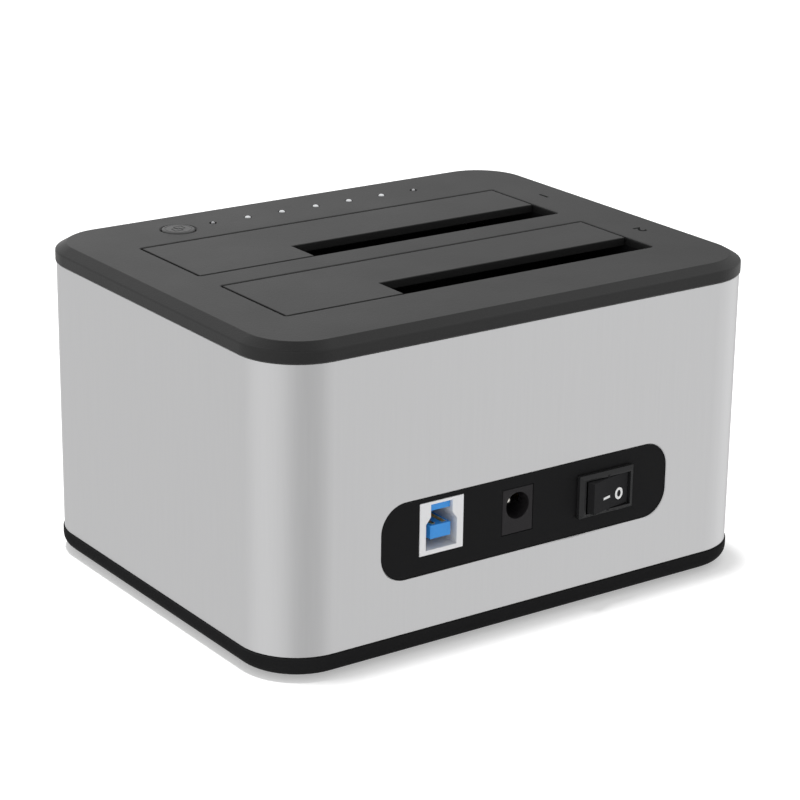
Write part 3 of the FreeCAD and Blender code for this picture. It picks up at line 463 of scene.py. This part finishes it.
# ---- power jack ------------------------------------------------------------------------------
# A black moulded jack with a deep round hole, set in a window of the insert. A plated centre pin
# with a rounded tip stands in the hole, and a spring leaf lies at its side.

jack_black = moulded_plastic("jack_black", (0.0175, 0.0160, 0.0175), roughness=0.5, specular=0.18,
                             relief=0.03)
finish_node("jack_body", jack_black, edges=0.12 * MM)
finish_node("jack_contact", gilt)

pin_low, pin_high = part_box("jack_centre_pin")
pin_radius = (pin_high.x - pin_low.x) / 2
pin_x = (pin_low.x + pin_high.x) / 2
pin_z = (pin_low.z + pin_high.z) / 2
# The tip's rounding, in shares of the pin's radius: how wide, and how far short of the end.
tip_rounding = ((1.0, 0.6), (0.87, 0.25), (0.5, 0.05), (0.15, 0.0))
pin_profile = [(pin_radius, pin_low.y)]
for wide, short in tip_rounding:
    pin_profile.append((wide * pin_radius, pin_high.y - short * pin_radius))
bm = bmesh.new()
add_turned(bm, pin_profile, 0, 0, steps=28, closed=False)
lay_down = Matrix.Rotation(math.radians(-90), 3, "X")
bmesh.ops.rotate(bm, verts=bm.verts, cent=(0, 0, 0), matrix=lay_down)
bmesh.ops.translate(bm, verts=bm.verts, vec=(pin_x, 0, pin_z))
jack_pin = new_piece("jack_pin", bm)
set_material(jack_pin, plated_metal("pin_plating", (0.85, 0.82, 0.76), roughness=0.2))
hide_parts("jack_centre_pin")
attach(jack_pin, "casing")

# ---- power switch ----------------------------------------------------------------------------
# A snap-in rocker switch: a bevelled bezel and body in one moulding, and a rocker that tilts on
# two trunnions. The bar for on and the ring for off are printed in white on the rocker.

tilt = next(joint for joint in frame["joints"] if joint["name"] == "power_rocker_tilt")
pivot = Vector(tilt["pos_m"])
rocker_lean = math.radians(tilt["range_deg"][1] / 2)
rocker_end_rise = 1.5 * MM
rocker_mid_rise = 1.0 * MM
rocker_half = 6.1 * MM
print_height = 0.04 * MM
mark_height = -0.9 * MM
ring_along = 3.2 * MM
ring_half = (1.25 * MM, 1.45 * MM)
ring_hole_half = (0.62 * MM, 0.85 * MM)
bar_along = -1.05 * MM
bar_half_length = 1.25 * MM
bar_half_width = 0.28 * MM

switch_black = moulded_plastic("switch_black", (0.023, 0.023, 0.024), roughness=0.38, specular=0.22,
                               relief=0.015)
rocker_black = moulded_plastic("rocker_black", (0.022, 0.022, 0.023), roughness=0.5, specular=0.02,
                               relief=0.015)
print_white = moulded_plastic("print_white", (0.86, 0.86, 0.86), roughness=0.5, specular=0.2,
                              relief=0.01)
finish_node("switch_housing", switch_black, edges=0.15 * MM)
finish_node("switch_rocker", rocker_black, edges=0.3 * MM)
finish_node("switch_terminals", tinned)


def rocker_loop(outline, proud):
    """Lays an outline on the rocker's face: along it towards the pressed end, and up."""
    loop = []
    for along, up in outline:
        rise = (rocker_end_rise - rocker_mid_rise) * abs(along) / rocker_half
        local = Vector((-along, rocker_mid_rise + rise + proud, mark_height + up))
        loop.append(pivot + Matrix.Rotation(rocker_lean, 3, "Z") @ local)
    return loop


def oval(along, half_along, half_up, steps=40):
    """The outline of an upright oval, along the rocker from its middle."""
    turns = [2 * math.pi * i / steps for i in range(steps)]
    return [(along + half_along * math.cos(turn), half_up * math.sin(turn)) for turn in turns]


ring_outside = oval(ring_along, *ring_half)
ring_inside = oval(ring_along, *ring_hole_half)
bm = bmesh.new()
add_loops(bm, [rocker_loop(ring_outside, print_height), rocker_loop(ring_outside, -print_height),
               rocker_loop(ring_inside, -print_height), rocker_loop(ring_inside, print_height)],
          closed=True)
off_ring = new_piece("off_ring", bm)
corners = ((-1, -1), (1, -1), (1, 1), (-1, 1))
bar = [(bar_along + sx * bar_half_length, sy * bar_half_width) for sx, sy in corners]
bm = bmesh.new()
add_loops(bm, [rocker_loop(bar, -print_height), rocker_loop(bar, print_height)])
on_bar = new_piece("on_bar", bm)
for mark in (off_ring, on_bar):
    set_material(mark, print_white)
    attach(mark, "rocker")

# ---- sleeve ----------------------------------------------------------------------------------
# The sleeve is an extruded aluminium tube with round corners, cut to length, milled for the rear
# insert and satin anodised. It is trapped between the base and the cover.

metal_break = 0.18 * MM
opening_x = 0.4 * MM
opening_z = 28.1 * MM
opening_half_length = 40.8 * MM
opening_half_height = 9.225 * MM
opening_radius = 6.5 * MM
opening_break = 0.2 * MM


def satin_aluminium(name):
    """Satin anodised extrusion: fine even grain, and faint lines along the way it was drawn."""
    line_scale = 1400
    grain_scale = 5200
    material, nodes, links, shader = new_material(name)
    shader.inputs["Metallic"].default_value = 1.0
    place = nodes.new("ShaderNodeTexCoord").outputs["Object"]
    drawn = add_stretch(nodes, links, place, along=(1.0, 1.0, 0.04))
    lines = add_noise(nodes, links, drawn, line_scale, detail=3)
    relief = nodes.new("ShaderNodeMix")
    relief.inputs["Factor"].default_value = 0.3
    links.new(add_noise(nodes, links, place, grain_scale), relief.inputs["A"])
    links.new(lines, relief.inputs["B"])
    add_bump(nodes, links, relief.outputs["Result"], strength=0.05, depth=0.15 * MM)
    gloss = add_spread(nodes, links, lines, low=0.36, high=0.44)
    links.new(gloss, shader.inputs["Roughness"])
    tones = add_tones(nodes, links, lines, dark=(0.600, 0.600, 0.605), light=(0.640, 0.640, 0.645))
    links.new(tones, shader.inputs["Base Color"])
    return material


bm = bmesh.new()
add_loops(bm, [casing_loop(0, sleeve_low.z + metal_break),
               casing_loop(0, sleeve_high.z - metal_break),
               casing_loop(-metal_break, sleeve_high.z),
               casing_loop(-sleeve_wall, sleeve_high.z),
               casing_loop(-sleeve_wall, sleeve_low.z),
               casing_loop(-metal_break, sleeve_low.z)], closed=True)
sleeve_shell = new_piece("sleeve_shell", bm)

opening_steps = ((0, -2 * sleeve_wall), (0, -opening_break), (opening_break, 0),
                 (opening_break, sleeve_wall))
opening_loops = []
for grow, out in opening_steps:
    loop = rounded_loop(opening_half_length + grow, opening_half_height + grow,
                        opening_radius + grow, 0, (opening_x, -opening_z))
    opening_loops.append([Vector((p.x, sleeve_high.y + out, -p.y)) for p in loop])
bm = bmesh.new()
add_loops(bm, opening_loops)
cut_away(sleeve_shell, new_piece("opening_cutter", bm))
smooth_mesh(sleeve_shell.data, angle=28)
even_shading(sleeve_shell, keep_sharp=True)
set_material(sleeve_shell, satin_aluminium("satin_aluminium"))
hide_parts("sleeve")
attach(sleeve_shell, "casing")

# ---- bay frame -------------------------------------------------------------------------------
# Two deep wells in one black moulding guide the drives on to their sockets. Its ears are clamped
# between the base's columns and the cover's bosses.

frame_black = moulded_plastic("frame_black", (0.0085, 0.0085, 0.009), roughness=0.5, specular=0.2,
                              relief=0.03)
finish_node("bay_frame", frame_black, edges=0.3 * MM)

# ---- top board -------------------------------------------------------------------------------
# A narrow board under the front of the cover, held by two small screws, with a row of light chips
# and the small switch under the copy button. A flat lead joins it to the main board.

chip_white = moulded_plastic("light_chip_white", (0.75, 0.75, 0.70), roughness=0.3, relief=0.01)
plunger_black = moulded_plastic("plunger_black", (0.02, 0.02, 0.02), roughness=0.4)
lead_film = moulded_plastic("flex_film", (0.42, 0.20, 0.03), roughness=0.3, grain=2 * MM)
lead_white = moulded_plastic("lead_socket_white", (0.70, 0.69, 0.64), roughness=0.4, relief=0.01)
finish_node("led_board", board_green)
finish_node("led_chips", chip_white)
finish_node("tact_switch", chip_black, edges=0.1 * MM)
finish_node("tact_plunger", plunger_black, edges=0.1 * MM)
finish_node("flex_cable", lead_film)
for end in ("top", "main"):
    finish_node("flex_socket_" + end, lead_white, edges=0.1 * MM)

# ---- top cover -------------------------------------------------------------------------------
# The cover is one dark grey moulding: a band level with the sleeve, a shallow chamfer with soft
# edges, and a flat top with the two bay openings, the light holes and the button hole. Lugs under
# it hold the hinge pins, and its skirt locates in the sleeve.

cover_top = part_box("top_cover")[1].z
cover_skin = 2.0 * MM
cover_under = cover_top - cover_skin
cover_overhang = 0.25 * MM
band_top = cover_top - 1.55 * MM
chamfer_inset = 2.7 * MM
soft_radius = 0.6 * MM
bay_low_x = -51.25 * MM
bay_high_x = 52.75 * MM
bay_middle_x = (bay_low_x + bay_high_x) / 2
bay_width = 27.45 * MM
bay_corner = 0.6 * MM
flap_gap = 0.45 * MM
mouth_break = 0.42 * MM
mouth_turn = 0.3 * mouth_break

chips_low, chips_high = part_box("led_chips")
chip_half = 1.0 * MM
light_count = 7
light_y = (chips_low.y + chips_high.y) / 2
light_pitch = (chips_high.x - chips_low.x - 2 * chip_half) / (light_count - 1)
light_places = [(chips_high.x - chip_half - i * light_pitch, light_y) for i in range(light_count)]
light_hole = 0.93 * MM
light_mouth = 0.15 * MM

plunger_low, plunger_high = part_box("tact_plunger")
button_low, button_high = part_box("clone_button")
button_x = (plunger_low.x + plunger_high.x) / 2
button_y = (plunger_low.y + plunger_high.y) / 2
button_flange = 0.6 * MM
button_radius = (button_high.x - button_low.x) / 2 - button_flange
button_gap = 0.2 * MM


def cover_grey(name, colour):
    """The fine leathery grain of the cover and its flaps, spark-eroded into the mould."""
    material = moulded_plastic(name, colour, roughness=0.46, specular=0.32, grain=0.5 * MM,
                               relief=0.08, mottling=0.05)
    nodes = material.node_tree.nodes
    links = material.node_tree.links
    fine_bump = nodes["Bump"]
    cells = nodes.new("ShaderNodeTexVoronoi")
    cells.inputs["Scale"].default_value = 2600
    links.new(nodes.new("ShaderNodeTexCoord").outputs["Object"], cells.inputs["Vector"])
    pebbles = add_bump(nodes, links, cells.outputs["Distance"], strength=0.10, depth=0.1 * MM)
    links.new(fine_bump.outputs["Normal"], pebbles.inputs["Normal"])
    return material


def soft_corner(before, corner, after, steps=4):
    """Rounds one corner of a profile of (offset, height) points."""
    corner = Vector(corner)
    back = (Vector(before) - corner).normalized()
    ahead = (Vector(after) - corner).normalized()
    reach = soft_radius / math.tan(back.angle(ahead) / 2)
    start = corner + back * reach
    end = corner + ahead * reach
    points = []
    for i in range(steps + 1):
        t = i / steps
        points.append(tuple((1 - t) ** 2 * start + 2 * t * (1 - t) * corner + t * t * end))
    return points


def add_hole(bm, radius, mouth, x, y, steps):
    """A cutter for a round hole through the cover's skin, with its mouth eased."""
    profile = [(radius, cover_under - cutter_reach), (radius, cover_top - mouth),
               (radius + mouth, cover_top), (radius + mouth, cover_top + cutter_reach)]
    add_turned(bm, profile, x, y, steps=steps, closed=False)


skirt_out = -(sleeve_wall + slip_fit)
skirt_in = skirt_out - lip_wall
skirt_low = sleeve_high.z - lip_height
band_low = (cover_overhang, sleeve_high.z)
band_high = (cover_overhang, band_top)
chamfer_high = (cover_overhang - chamfer_inset, cover_top)
flat_top = (cover_overhang - 3 * chamfer_inset, cover_top)
cover_profile = [
    (skirt_in, cover_under),
    (skirt_in, skirt_low),
    (skirt_out, skirt_low),
    (skirt_out, sleeve_high.z),
    (cover_overhang - rim_break, sleeve_high.z),
    (cover_overhang, sleeve_high.z + rim_break),
]
cover_profile += soft_corner(band_low, band_high, chamfer_high)
cover_profile += soft_corner(band_high, chamfer_high, flat_top)
bm = bmesh.new()
add_loops(bm, [casing_loop(offset, z) for offset, z in cover_profile])
cover_moulding = new_piece("cover_moulding", bm)

mouth_steps = ((0, cover_under - cutter_reach), (0, cover_top - mouth_break),
               (mouth_turn, cover_top - mouth_turn), (mouth_break, cover_top),
               (mouth_break, cover_top + cutter_reach))
bm = bmesh.new()
for bay in ("front", "rear"):
    bay_front_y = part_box("flap_" + bay)[1].y + flap_gap - bay_width
    centre = (bay_middle_x, bay_front_y + bay_width / 2)
    add_loops(bm, [rounded_loop((bay_high_x - bay_low_x) / 2 + grow, bay_width / 2 + grow,
                                bay_corner + grow, z, centre, steps=5) for grow, z in mouth_steps])
for x, y in light_places:
    add_hole(bm, light_hole, light_mouth, x, y, steps=24)
add_hole(bm, button_radius + button_gap, mouth_break, button_x, button_y, steps=64)
cut_away(cover_moulding, new_piece("cover_cutter", bm))
smooth_mesh(cover_moulding.data, angle=30)
even_shading(cover_moulding, keep_sharp=True)

lug_half = 1.25 * MM
lug_bore = 0.83 * MM
lug_outset = 0.55 * MM
knuckle_radius = 1.9 * MM
bore_steps = 24
hinges = [joint for joint in frame["joints"] if joint["name"].endswith("flap_hinge")]
lugs = bmesh.new()
bores = bmesh.new()
for joint in hinges:
    y, z = joint["pos_m"][1], joint["pos_m"][2]
    circle = []
    for i in range(bore_steps):
        turn = 2 * math.pi * i / bore_steps
        circle.append((y + lug_bore * math.cos(turn), z + lug_bore * math.sin(turn)))
    for x in (bay_low_x - lug_outset, bay_middle_x, bay_high_x + lug_outset):
        add_block(lugs, (x - lug_half, y - knuckle_radius, z - knuckle_radius),
                  (x + lug_half, y + knuckle_radius, cover_under))
        add_loops(bores, [[Vector((x + end * 2 * lug_half, across, up)) for across, up in circle]
                          for end in (-1, 1)])
hinge_lugs = new_piece("hinge_lugs", lugs)
cut_away(hinge_lugs, new_piece("bore_cutter", bores))
ease_edges(hinge_lugs, width=0.15 * MM)

boss_radius = 3.0 * MM
boss_bore = 1.45 * MM
ear_top = 64.4 * MM
small_boss_radius = 2.1 * MM
small_boss_bore = 0.95 * MM
small_boss_places = (-36.0 * MM, 42.5 * MM)
small_boss_inset = 2.4 * MM
top_board_low, top_board_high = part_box("led_board")
small_boss_y = top_board_low.y + small_boss_inset
bm = bmesh.new()
for x, y in column_places:
    add_tube(bm, boss_bore, boss_radius, ear_top, cover_under, x, y)
for x in small_boss_places:
    add_tube(bm, small_boss_bore, small_boss_radius, top_board_high.z, cover_under, x, small_boss_y)
cover_bosses = new_piece("cover_bosses", bm)

cover_finish = cover_grey("cover_grey", (0.012, 0.012, 0.012))
for piece in (cover_moulding, hinge_lugs, cover_bosses):
    set_material(piece, cover_finish)
    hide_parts("top_cover")
    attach(piece, "casing")

# ---- bay numbers -----------------------------------------------------------------------------
# A small plain number stands at the end of each bay, so that the two can be told apart. They are
# pad printed on the cover in dark ink.

number_ink = moulded_plastic("number_ink", (0.006, 0.006, 0.006), roughness=0.7, specular=0.05,
                             relief=0.01)
number_places = {"1": (-58.6 * MM, -20.3 * MM), "2": (-58.6 * MM, 18.0 * MM)}
number_height = 3.4 * MM
size_for_height = 1.35
for digit, (x, y) in number_places.items():
    words = bpy.data.curves.new("bay_number_" + digit, "FONT")
    words.body = digit
    words.size = number_height * size_for_height
    words.align_x = "CENTER"
    words.align_y = "CENTER"
    words.extrude = 0.02 * MM
    words.offset = 0.12 * MM
    words.resolution_u = 6
    number = bpy.data.objects.new("bay_number_" + digit, words)
    number.location = (x, y, cover_top)
    bpy.context.scene.collection.objects.link(number)
    number.data.materials.append(number_ink)
    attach(number, "casing")

# ---- light guides ----------------------------------------------------------------------------
# Seven clear acrylic guides stand on the top board and show as small domes in the cover. The five
# in the middle are lit; the two at the ends are not. These two have narrow tips in a light grey
# that is a painted glint, in place of the small highlight on a darker lens.

guide_radius = 0.76 * MM
end_guide_radius = 0.46 * MM
shaft_half = 1.2 * MM
guide_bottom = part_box("light_pipes")[0].z
dome_bottom = cover_top - 0.1 * MM
dome_rise = 0.42 * MM
dome_steps = 6


def clear_acrylic(name, glow, dark, light):
    """Clear moulded acrylic, with the light of the chip below it where that is on."""
    haze_scale = 1500
    material, nodes, links, shader = new_material(name)
    shader.inputs["Roughness"].default_value = 0.2
    shader.inputs["Emission Strength"].default_value = glow
    place = nodes.new("ShaderNodeTexCoord").outputs["Object"]
    tones = add_tones(nodes, links, add_noise(nodes, links, place, haze_scale), dark, light)
    links.new(tones, shader.inputs["Base Color"])
    links.new(tones, shader.inputs["Emission Color"])
    return material


lit_guide = clear_acrylic("lit_guide", glow=0.10, dark=(0.46, 0.47, 0.48),
                          light=(0.60, 0.61, 0.62))
# The grey of the two unlit guides is a painted glint: it stands in for the small highlight on a
# darker lens.
unlit_guide_painted_glint = clear_acrylic("unlit_guide_painted_glint", glow=0.0, dark=(0.24, 0.24, 0.25),
                           light=(0.42, 0.42, 0.43))
for i, (x, y) in enumerate(light_places):
    lit = 0 < i < light_count - 1
    tip_radius = guide_radius if lit else end_guide_radius
    dome = [(tip_radius, cover_under), (tip_radius, dome_bottom)]
    for step in range(1, dome_steps):
        lean = math.radians(90) * step / dome_steps
        dome.append((tip_radius * math.cos(lean), dome_bottom + dome_rise * math.sin(lean)))
    bm = bmesh.new()
    add_block(bm, (x - shaft_half, y - shaft_half, guide_bottom),
              (x + shaft_half, y + shaft_half, cover_under))
    add_turned(bm, dome, x, y, steps=24, closed=False)
    guide = new_piece("light_guide_%d" % (i + 1), bm, smooth_angle=50)
    set_material(guide, lit_guide if lit else unlit_guide_painted_glint)
    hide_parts("light_pipes")
    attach(guide, "casing")

# ---- copy button -----------------------------------------------------------------------------
# A round moulded key in the cover's dark grey. A shallow ring is turned in its top, with a plain
# sign of two overlapping squares for copying, and a stem reaches the small switch below.

button_top = button_high.z
flange_radius = button_radius + button_flange
flange_top = cover_under - 0.1 * MM
flange_under = flange_top - 0.8 * MM
stem_radius = 1.5 * MM
stem_hollow = 0.3 * stem_radius
rim_rounding = ((0.0, 0.35 * MM), (0.1 * MM, 0.12 * MM), (0.32 * MM, 0.0))
face_sink = 0.02 * MM
ring_outer = 0.84 * button_radius
ring_inner = 0.77 * button_radius
ring_slope = 0.06 * MM
ring_depth = 0.12 * MM
face_middle = 0.4 * ring_inner
button_profile = [
    (stem_hollow, button_low.z),
    (stem_radius, button_low.z),
    (stem_radius, flange_under),
    (flange_radius, flange_under),
    (flange_radius, flange_top),
    (button_radius, flange_top),
]
button_profile += [(button_radius - inward, button_top - down) for inward, down in rim_rounding]
button_profile += [
    (ring_outer, button_top - face_sink),
    (ring_outer - ring_slope, button_top - ring_depth),
    (ring_inner + ring_slope, button_top - ring_depth),
    (ring_inner, button_top - face_sink),
    (face_middle, button_top - face_sink),
]
bm = bmesh.new()
add_turned(bm, button_profile, button_x, button_y, steps=72, closed=False)
copy_key = new_piece("copy_key", bm, smooth_angle=40)
set_material(copy_key, cover_grey("button_grey", (0.058, 0.058, 0.058)))
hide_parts("clone_button")
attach(copy_key, "button")

square_half = 1.15 * MM
square_inside = square_half - 0.2 * MM
square_corner = 0.15 * MM
sign_shift = 0.65 * MM
sign_top = button_top + 0.03 * MM - face_sink
sign_root = button_top - 0.06 * MM
sign_steps = ((square_half, sign_root), (square_half, sign_top), (square_inside, sign_top),
              (square_inside, sign_root))
bm = bmesh.new()
for shift in (-sign_shift, sign_shift):
    centre = (button_x + shift, button_y + shift)
    add_loops(bm, [rounded_loop(half, half, square_corner, z, centre, steps=3)
                   for half, z in sign_steps], closed=True)
copy_sign = new_piece("copy_sign", bm)
sign_ink = moulded_plastic("sign_ink", (0.025, 0.025, 0.025), roughness=0.6, specular=0.1,
                           relief=0.01)
set_material(copy_sign, sign_ink)
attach(copy_sign, "button")

# ---- flaps, pins and springs -----------------------------------------------------------------
# Each bay has an L-shaped lid in the cover's plastic on a ground steel pin. A torsion spring round
# the pin shuts it: its coils and one leg stay with the cover, and the other leg goes with the lid.

wire_radius = 0.22 * MM
coil_radius = 1.35 * MM
coil_pitch = 2.05 * wire_radius
coil_turns = 5
steps_per_turn = 20
leg_offset = 0.05 * MM
bend_reach = 0.6 * MM
flap_finish = cover_grey("flap_grey", (0.014, 0.014, 0.014))
pin_steel = plated_metal("pin_steel", (0.62, 0.62, 0.64), roughness=0.25, along=(14.0, 1.0, 1.0))
spring_steel = plated_metal("spring_steel", (0.55, 0.55, 0.56), roughness=0.3,
                            along=(1.0, 1.0, 1.0))


def wire_piece(name, points):
    """Round wire along a row of points, as a mesh tube."""
    line = bpy.data.curves.new(name, "CURVE")
    line.dimensions = "3D"
    line.bevel_depth = wire_radius
    line.bevel_resolution = 2
    line.use_fill_caps = True
    spline = line.splines.new("POLY")
    spline.points.add(len(points) - 1)
    for point, place in zip(spline.points, points):
        point.co = (*place, 1)
    holder = bpy.data.objects.new(name + "_line", line)
    bpy.context.scene.collection.objects.link(holder)
    evaluated = holder.evaluated_get(bpy.context.evaluated_depsgraph_get())
    mesh = bpy.data.meshes.new_from_object(evaluated)
    bpy.data.objects.remove(holder)
    mesh.shade_smooth()
    piece = bpy.data.objects.new(name, mesh)
    bpy.context.scene.collection.objects.link(piece)
    set_material(piece, spring_steel)
    return piece


for joint in hinges:
    bay = joint["name"].split("_")[0]
    finish_node("flap_" + bay, flap_finish)
    finish_node("hinge_pin_" + bay, pin_steel)
    spring_low, spring_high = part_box("flap_spring_" + bay)
    hinge_y, hinge_z = joint["pos_m"][1], joint["pos_m"][2]
    coil_start = spring_low.x + wire_radius
    coil = []
    for i in range(coil_turns * steps_per_turn + 1):
        turn = 2 * math.pi * i / steps_per_turn
        coil.append((coil_start + coil_pitch * i / steps_per_turn,
                     hinge_y + coil_radius * math.sin(turn),
                     hinge_z + coil_radius * math.cos(turn)))
    bearing_z = spring_high.z - wire_radius
    bearing_end = (coil[-1][0], spring_low.y + wire_radius, bearing_z)
    coil_piece = wire_piece("spring_coil_" + bay, coil + [bearing_end])
    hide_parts("flap_spring_" + bay)
    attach(coil_piece, "casing")
    lifting_z = bearing_z + leg_offset
    lifting_bend = (coil_start, hinge_y + bend_reach, lifting_z)
    lifting_end = (coil_start, spring_high.y - wire_radius, lifting_z)
    leg_piece = wire_piece("spring_leg_" + bay, [coil[0], lifting_bend, lifting_end])
    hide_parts("flap_spring_" + bay)
    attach(leg_piece, bay + "_flap")

# ---- screws ----------------------------------------------------------------------------------
# Cross-recessed pan-head screws, zinc plated and blackened: four long ones up through the base's
# columns, two in the main board and two small ones in the top board.

screw_zinc = plated_metal("screw_zinc", (0.20, 0.20, 0.21), roughness=0.35, along=(1.0, 1.0, 1.0))
for screws in ("case_screws", "board_screws", "led_board_screws"):
    finish_node(screws, screw_zinc, edges=0.12 * MM)

# ---- floor -----------------------------------------------------------------------------------
# A plain matt white table top that the dock stands on. It takes the dock's shadow, and it is
# lifted a little for the camera, so that away from the shadow it shows as white.

floor_half = 3.0
floor_lift = 0.37


def by_ray(nodes, links, kind, other, chosen):
    """Shows one shader to one kind of ray, and another to the rest."""
    ray = nodes.new("ShaderNodeLightPath")
    choice = nodes.new("ShaderNodeMixShader")
    links.new(ray.outputs[kind], choice.inputs["Fac"])
    links.new(other, choice.inputs[1])
    links.new(chosen, choice.inputs[2])
    return choice.outputs["Shader"]


bm = bmesh.new()
bm.faces.new([bm.verts.new((sx * floor_half, sy * floor_half, 0)) for sx, sy in corners])
floor = new_piece("floor", bm)
floor_white = bpy.data.materials.new("floor_white")
floor_white.use_nodes = True
nodes = floor_white.node_tree.nodes
links = floor_white.node_tree.links
nodes.clear()
diffuse = nodes.new("ShaderNodeBsdfDiffuse")
diffuse.inputs["Color"].default_value = (0.80, 0.80, 0.80, 1)
lift = nodes.new("ShaderNodeEmission")
lift.inputs["Strength"].default_value = floor_lift
lifted = nodes.new("ShaderNodeAddShader")
links.new(diffuse.outputs["BSDF"], lifted.inputs[0])
links.new(lift.outputs["Emission"], lifted.inputs[1])
shown = by_ray(nodes, links, "Is Camera Ray", diffuse.outputs["BSDF"], lifted.outputs["Shader"])
links.new(shown, nodes.new("ShaderNodeOutputMaterial").inputs["Surface"])
set_material(floor, floor_white)
floor.visible_glossy = False

# ---- surround and lamp -----------------------------------------------------------------------
# An even white surround, with broad lighter and darker bands round it that only a sheen shows, as
# soft boxes and the gaps between them do. One lamp far overhead gives the shadow its soft edge.

# Each stop is a heading in degrees and how bright it is there, kept as a share of brightest.
band_stops = ((-180, 1.26), (-164, 1.18), (-148, 0.52), (-133, 0.64), (-116, 1.20), (-106, 1.20),
              (-90, 0.84), (-75, 0.93), (-60, 0.99), (-44, 0.92), (-12, 1.13), (26, 1.09),
              (63, 0.77), (99, 0.79), (122, 1.07), (150, 1.08), (180, 1.26))
brightest = 2
level_below = 0.90
level_overhead = 0.04
soft_level = 0.62


def add_background(nodes, strength):
    """Even white light from all round."""
    background = nodes.new("ShaderNodeBackground")
    background.inputs["Color"].default_value = (1, 1, 1, 1)
    background.inputs["Strength"].default_value = strength
    return background


world = bpy.data.worlds.new("surround")
bpy.context.scene.world = world
world.use_nodes = True
nodes = world.node_tree.nodes
links = world.node_tree.links
nodes.clear()
way = nodes.new("ShaderNodeSeparateXYZ")
links.new(nodes.new("ShaderNodeTexCoord").outputs["Generated"], way.inputs["Vector"])
heading = nodes.new("ShaderNodeMath")
heading.operation = "ARCTAN2"
links.new(way.outputs["Y"], heading.inputs[0])
links.new(way.outputs["X"], heading.inputs[1])
round_share = nodes.new("ShaderNodeMapRange")
round_share.inputs["From Min"].default_value = -math.pi
round_share.inputs["From Max"].default_value = math.pi
links.new(heading.outputs["Value"], round_share.inputs["Value"])
bands = nodes.new("ShaderNodeValToRGB")
bands.color_ramp.interpolation = "EASE"
ramp = bands.color_ramp.elements
while len(ramp) > 1:
    ramp.remove(ramp[-1])
ramp[0].position = 0.0
for i, (degrees, level) in enumerate(band_stops):
    stop = ramp[0] if i == 0 else ramp.new((degrees + 180) / 360)
    stop.color = (level / brightest, level / brightest, level / brightest, 1)
links.new(round_share.outputs["Result"], bands.inputs["Fac"])
overhead = add_spread(nodes, links, way.outputs["Z"], brightest * level_below,
                      brightest * level_overhead)
overhead.node.interpolation_type = "SMOOTHSTEP"
overhead.node.inputs["From Min"].default_value = math.sin(math.radians(61))
overhead.node.inputs["From Max"].default_value = math.sin(math.radians(75))
banded = add_background(nodes, brightest)
links.new(overhead, banded.inputs["Strength"])
links.new(bands.outputs["Color"], banded.inputs["Color"])
soft = add_background(nodes, soft_level)
plain = add_background(nodes, 1.0)
sheen = by_ray(nodes, links, "Is Glossy Ray", soft.outputs["Background"],
               banded.outputs["Background"])
shown = by_ray(nodes, links, "Is Camera Ray", sheen, plain.outputs["Background"])
links.new(shown, nodes.new("ShaderNodeOutputWorld").inputs["Surface"])

lamp = bpy.data.lights.new("overhead_lamp", "SUN")
lamp.angle = math.radians(7)
lamp.energy = 2.4
lamp_object = bpy.data.objects.new("overhead_lamp", lamp)
lamp_way = Vector((-0.06, 0.065, -1.0))
lamp_object.rotation_euler = lamp_way.to_track_quat("-Z", "Y").to_euler()
lamp_object.visible_glossy = False
bpy.context.scene.collection.objects.link(lamp_object)

# ---- camera ----------------------------------------------------------------------------------
# A long lens well back from the dock, looking down on its rear and one of its ends. It leans a
# little, and its place is measured from the middle of the casing's footprint.

camera = bpy.data.cameras.new("camera")
camera.lens = 117.17
camera.sensor_width = 36.0
camera.clip_start = 0.01
camera_place = Vector((0.34354, middle_y + 0.488436, 0.24554))
yaw = math.radians(54.777)
pitch = math.radians(19.075)
roll = math.radians(0.786)
ahead = Vector((-math.cos(pitch) * math.cos(yaw), -math.cos(pitch) * math.sin(yaw),
                -math.sin(pitch)))
level_right = ahead.cross(Vector((0, 0, 1))).normalized()
level_up = level_right.cross(ahead)
right = level_right * math.cos(roll) + level_up * math.sin(roll)
up = level_up * math.cos(roll) - level_right * math.sin(roll)
facing = Matrix((right, up, -ahead)).transposed().to_4x4()
camera_object = bpy.data.objects.new("camera", camera)
camera_object.matrix_world = Matrix.Translation(camera_place) @ facing
bpy.context.scene.collection.objects.link(camera_object)
bpy.context.scene.camera = camera_object
bpy.context.scene.view_settings.view_transform = "Standard"
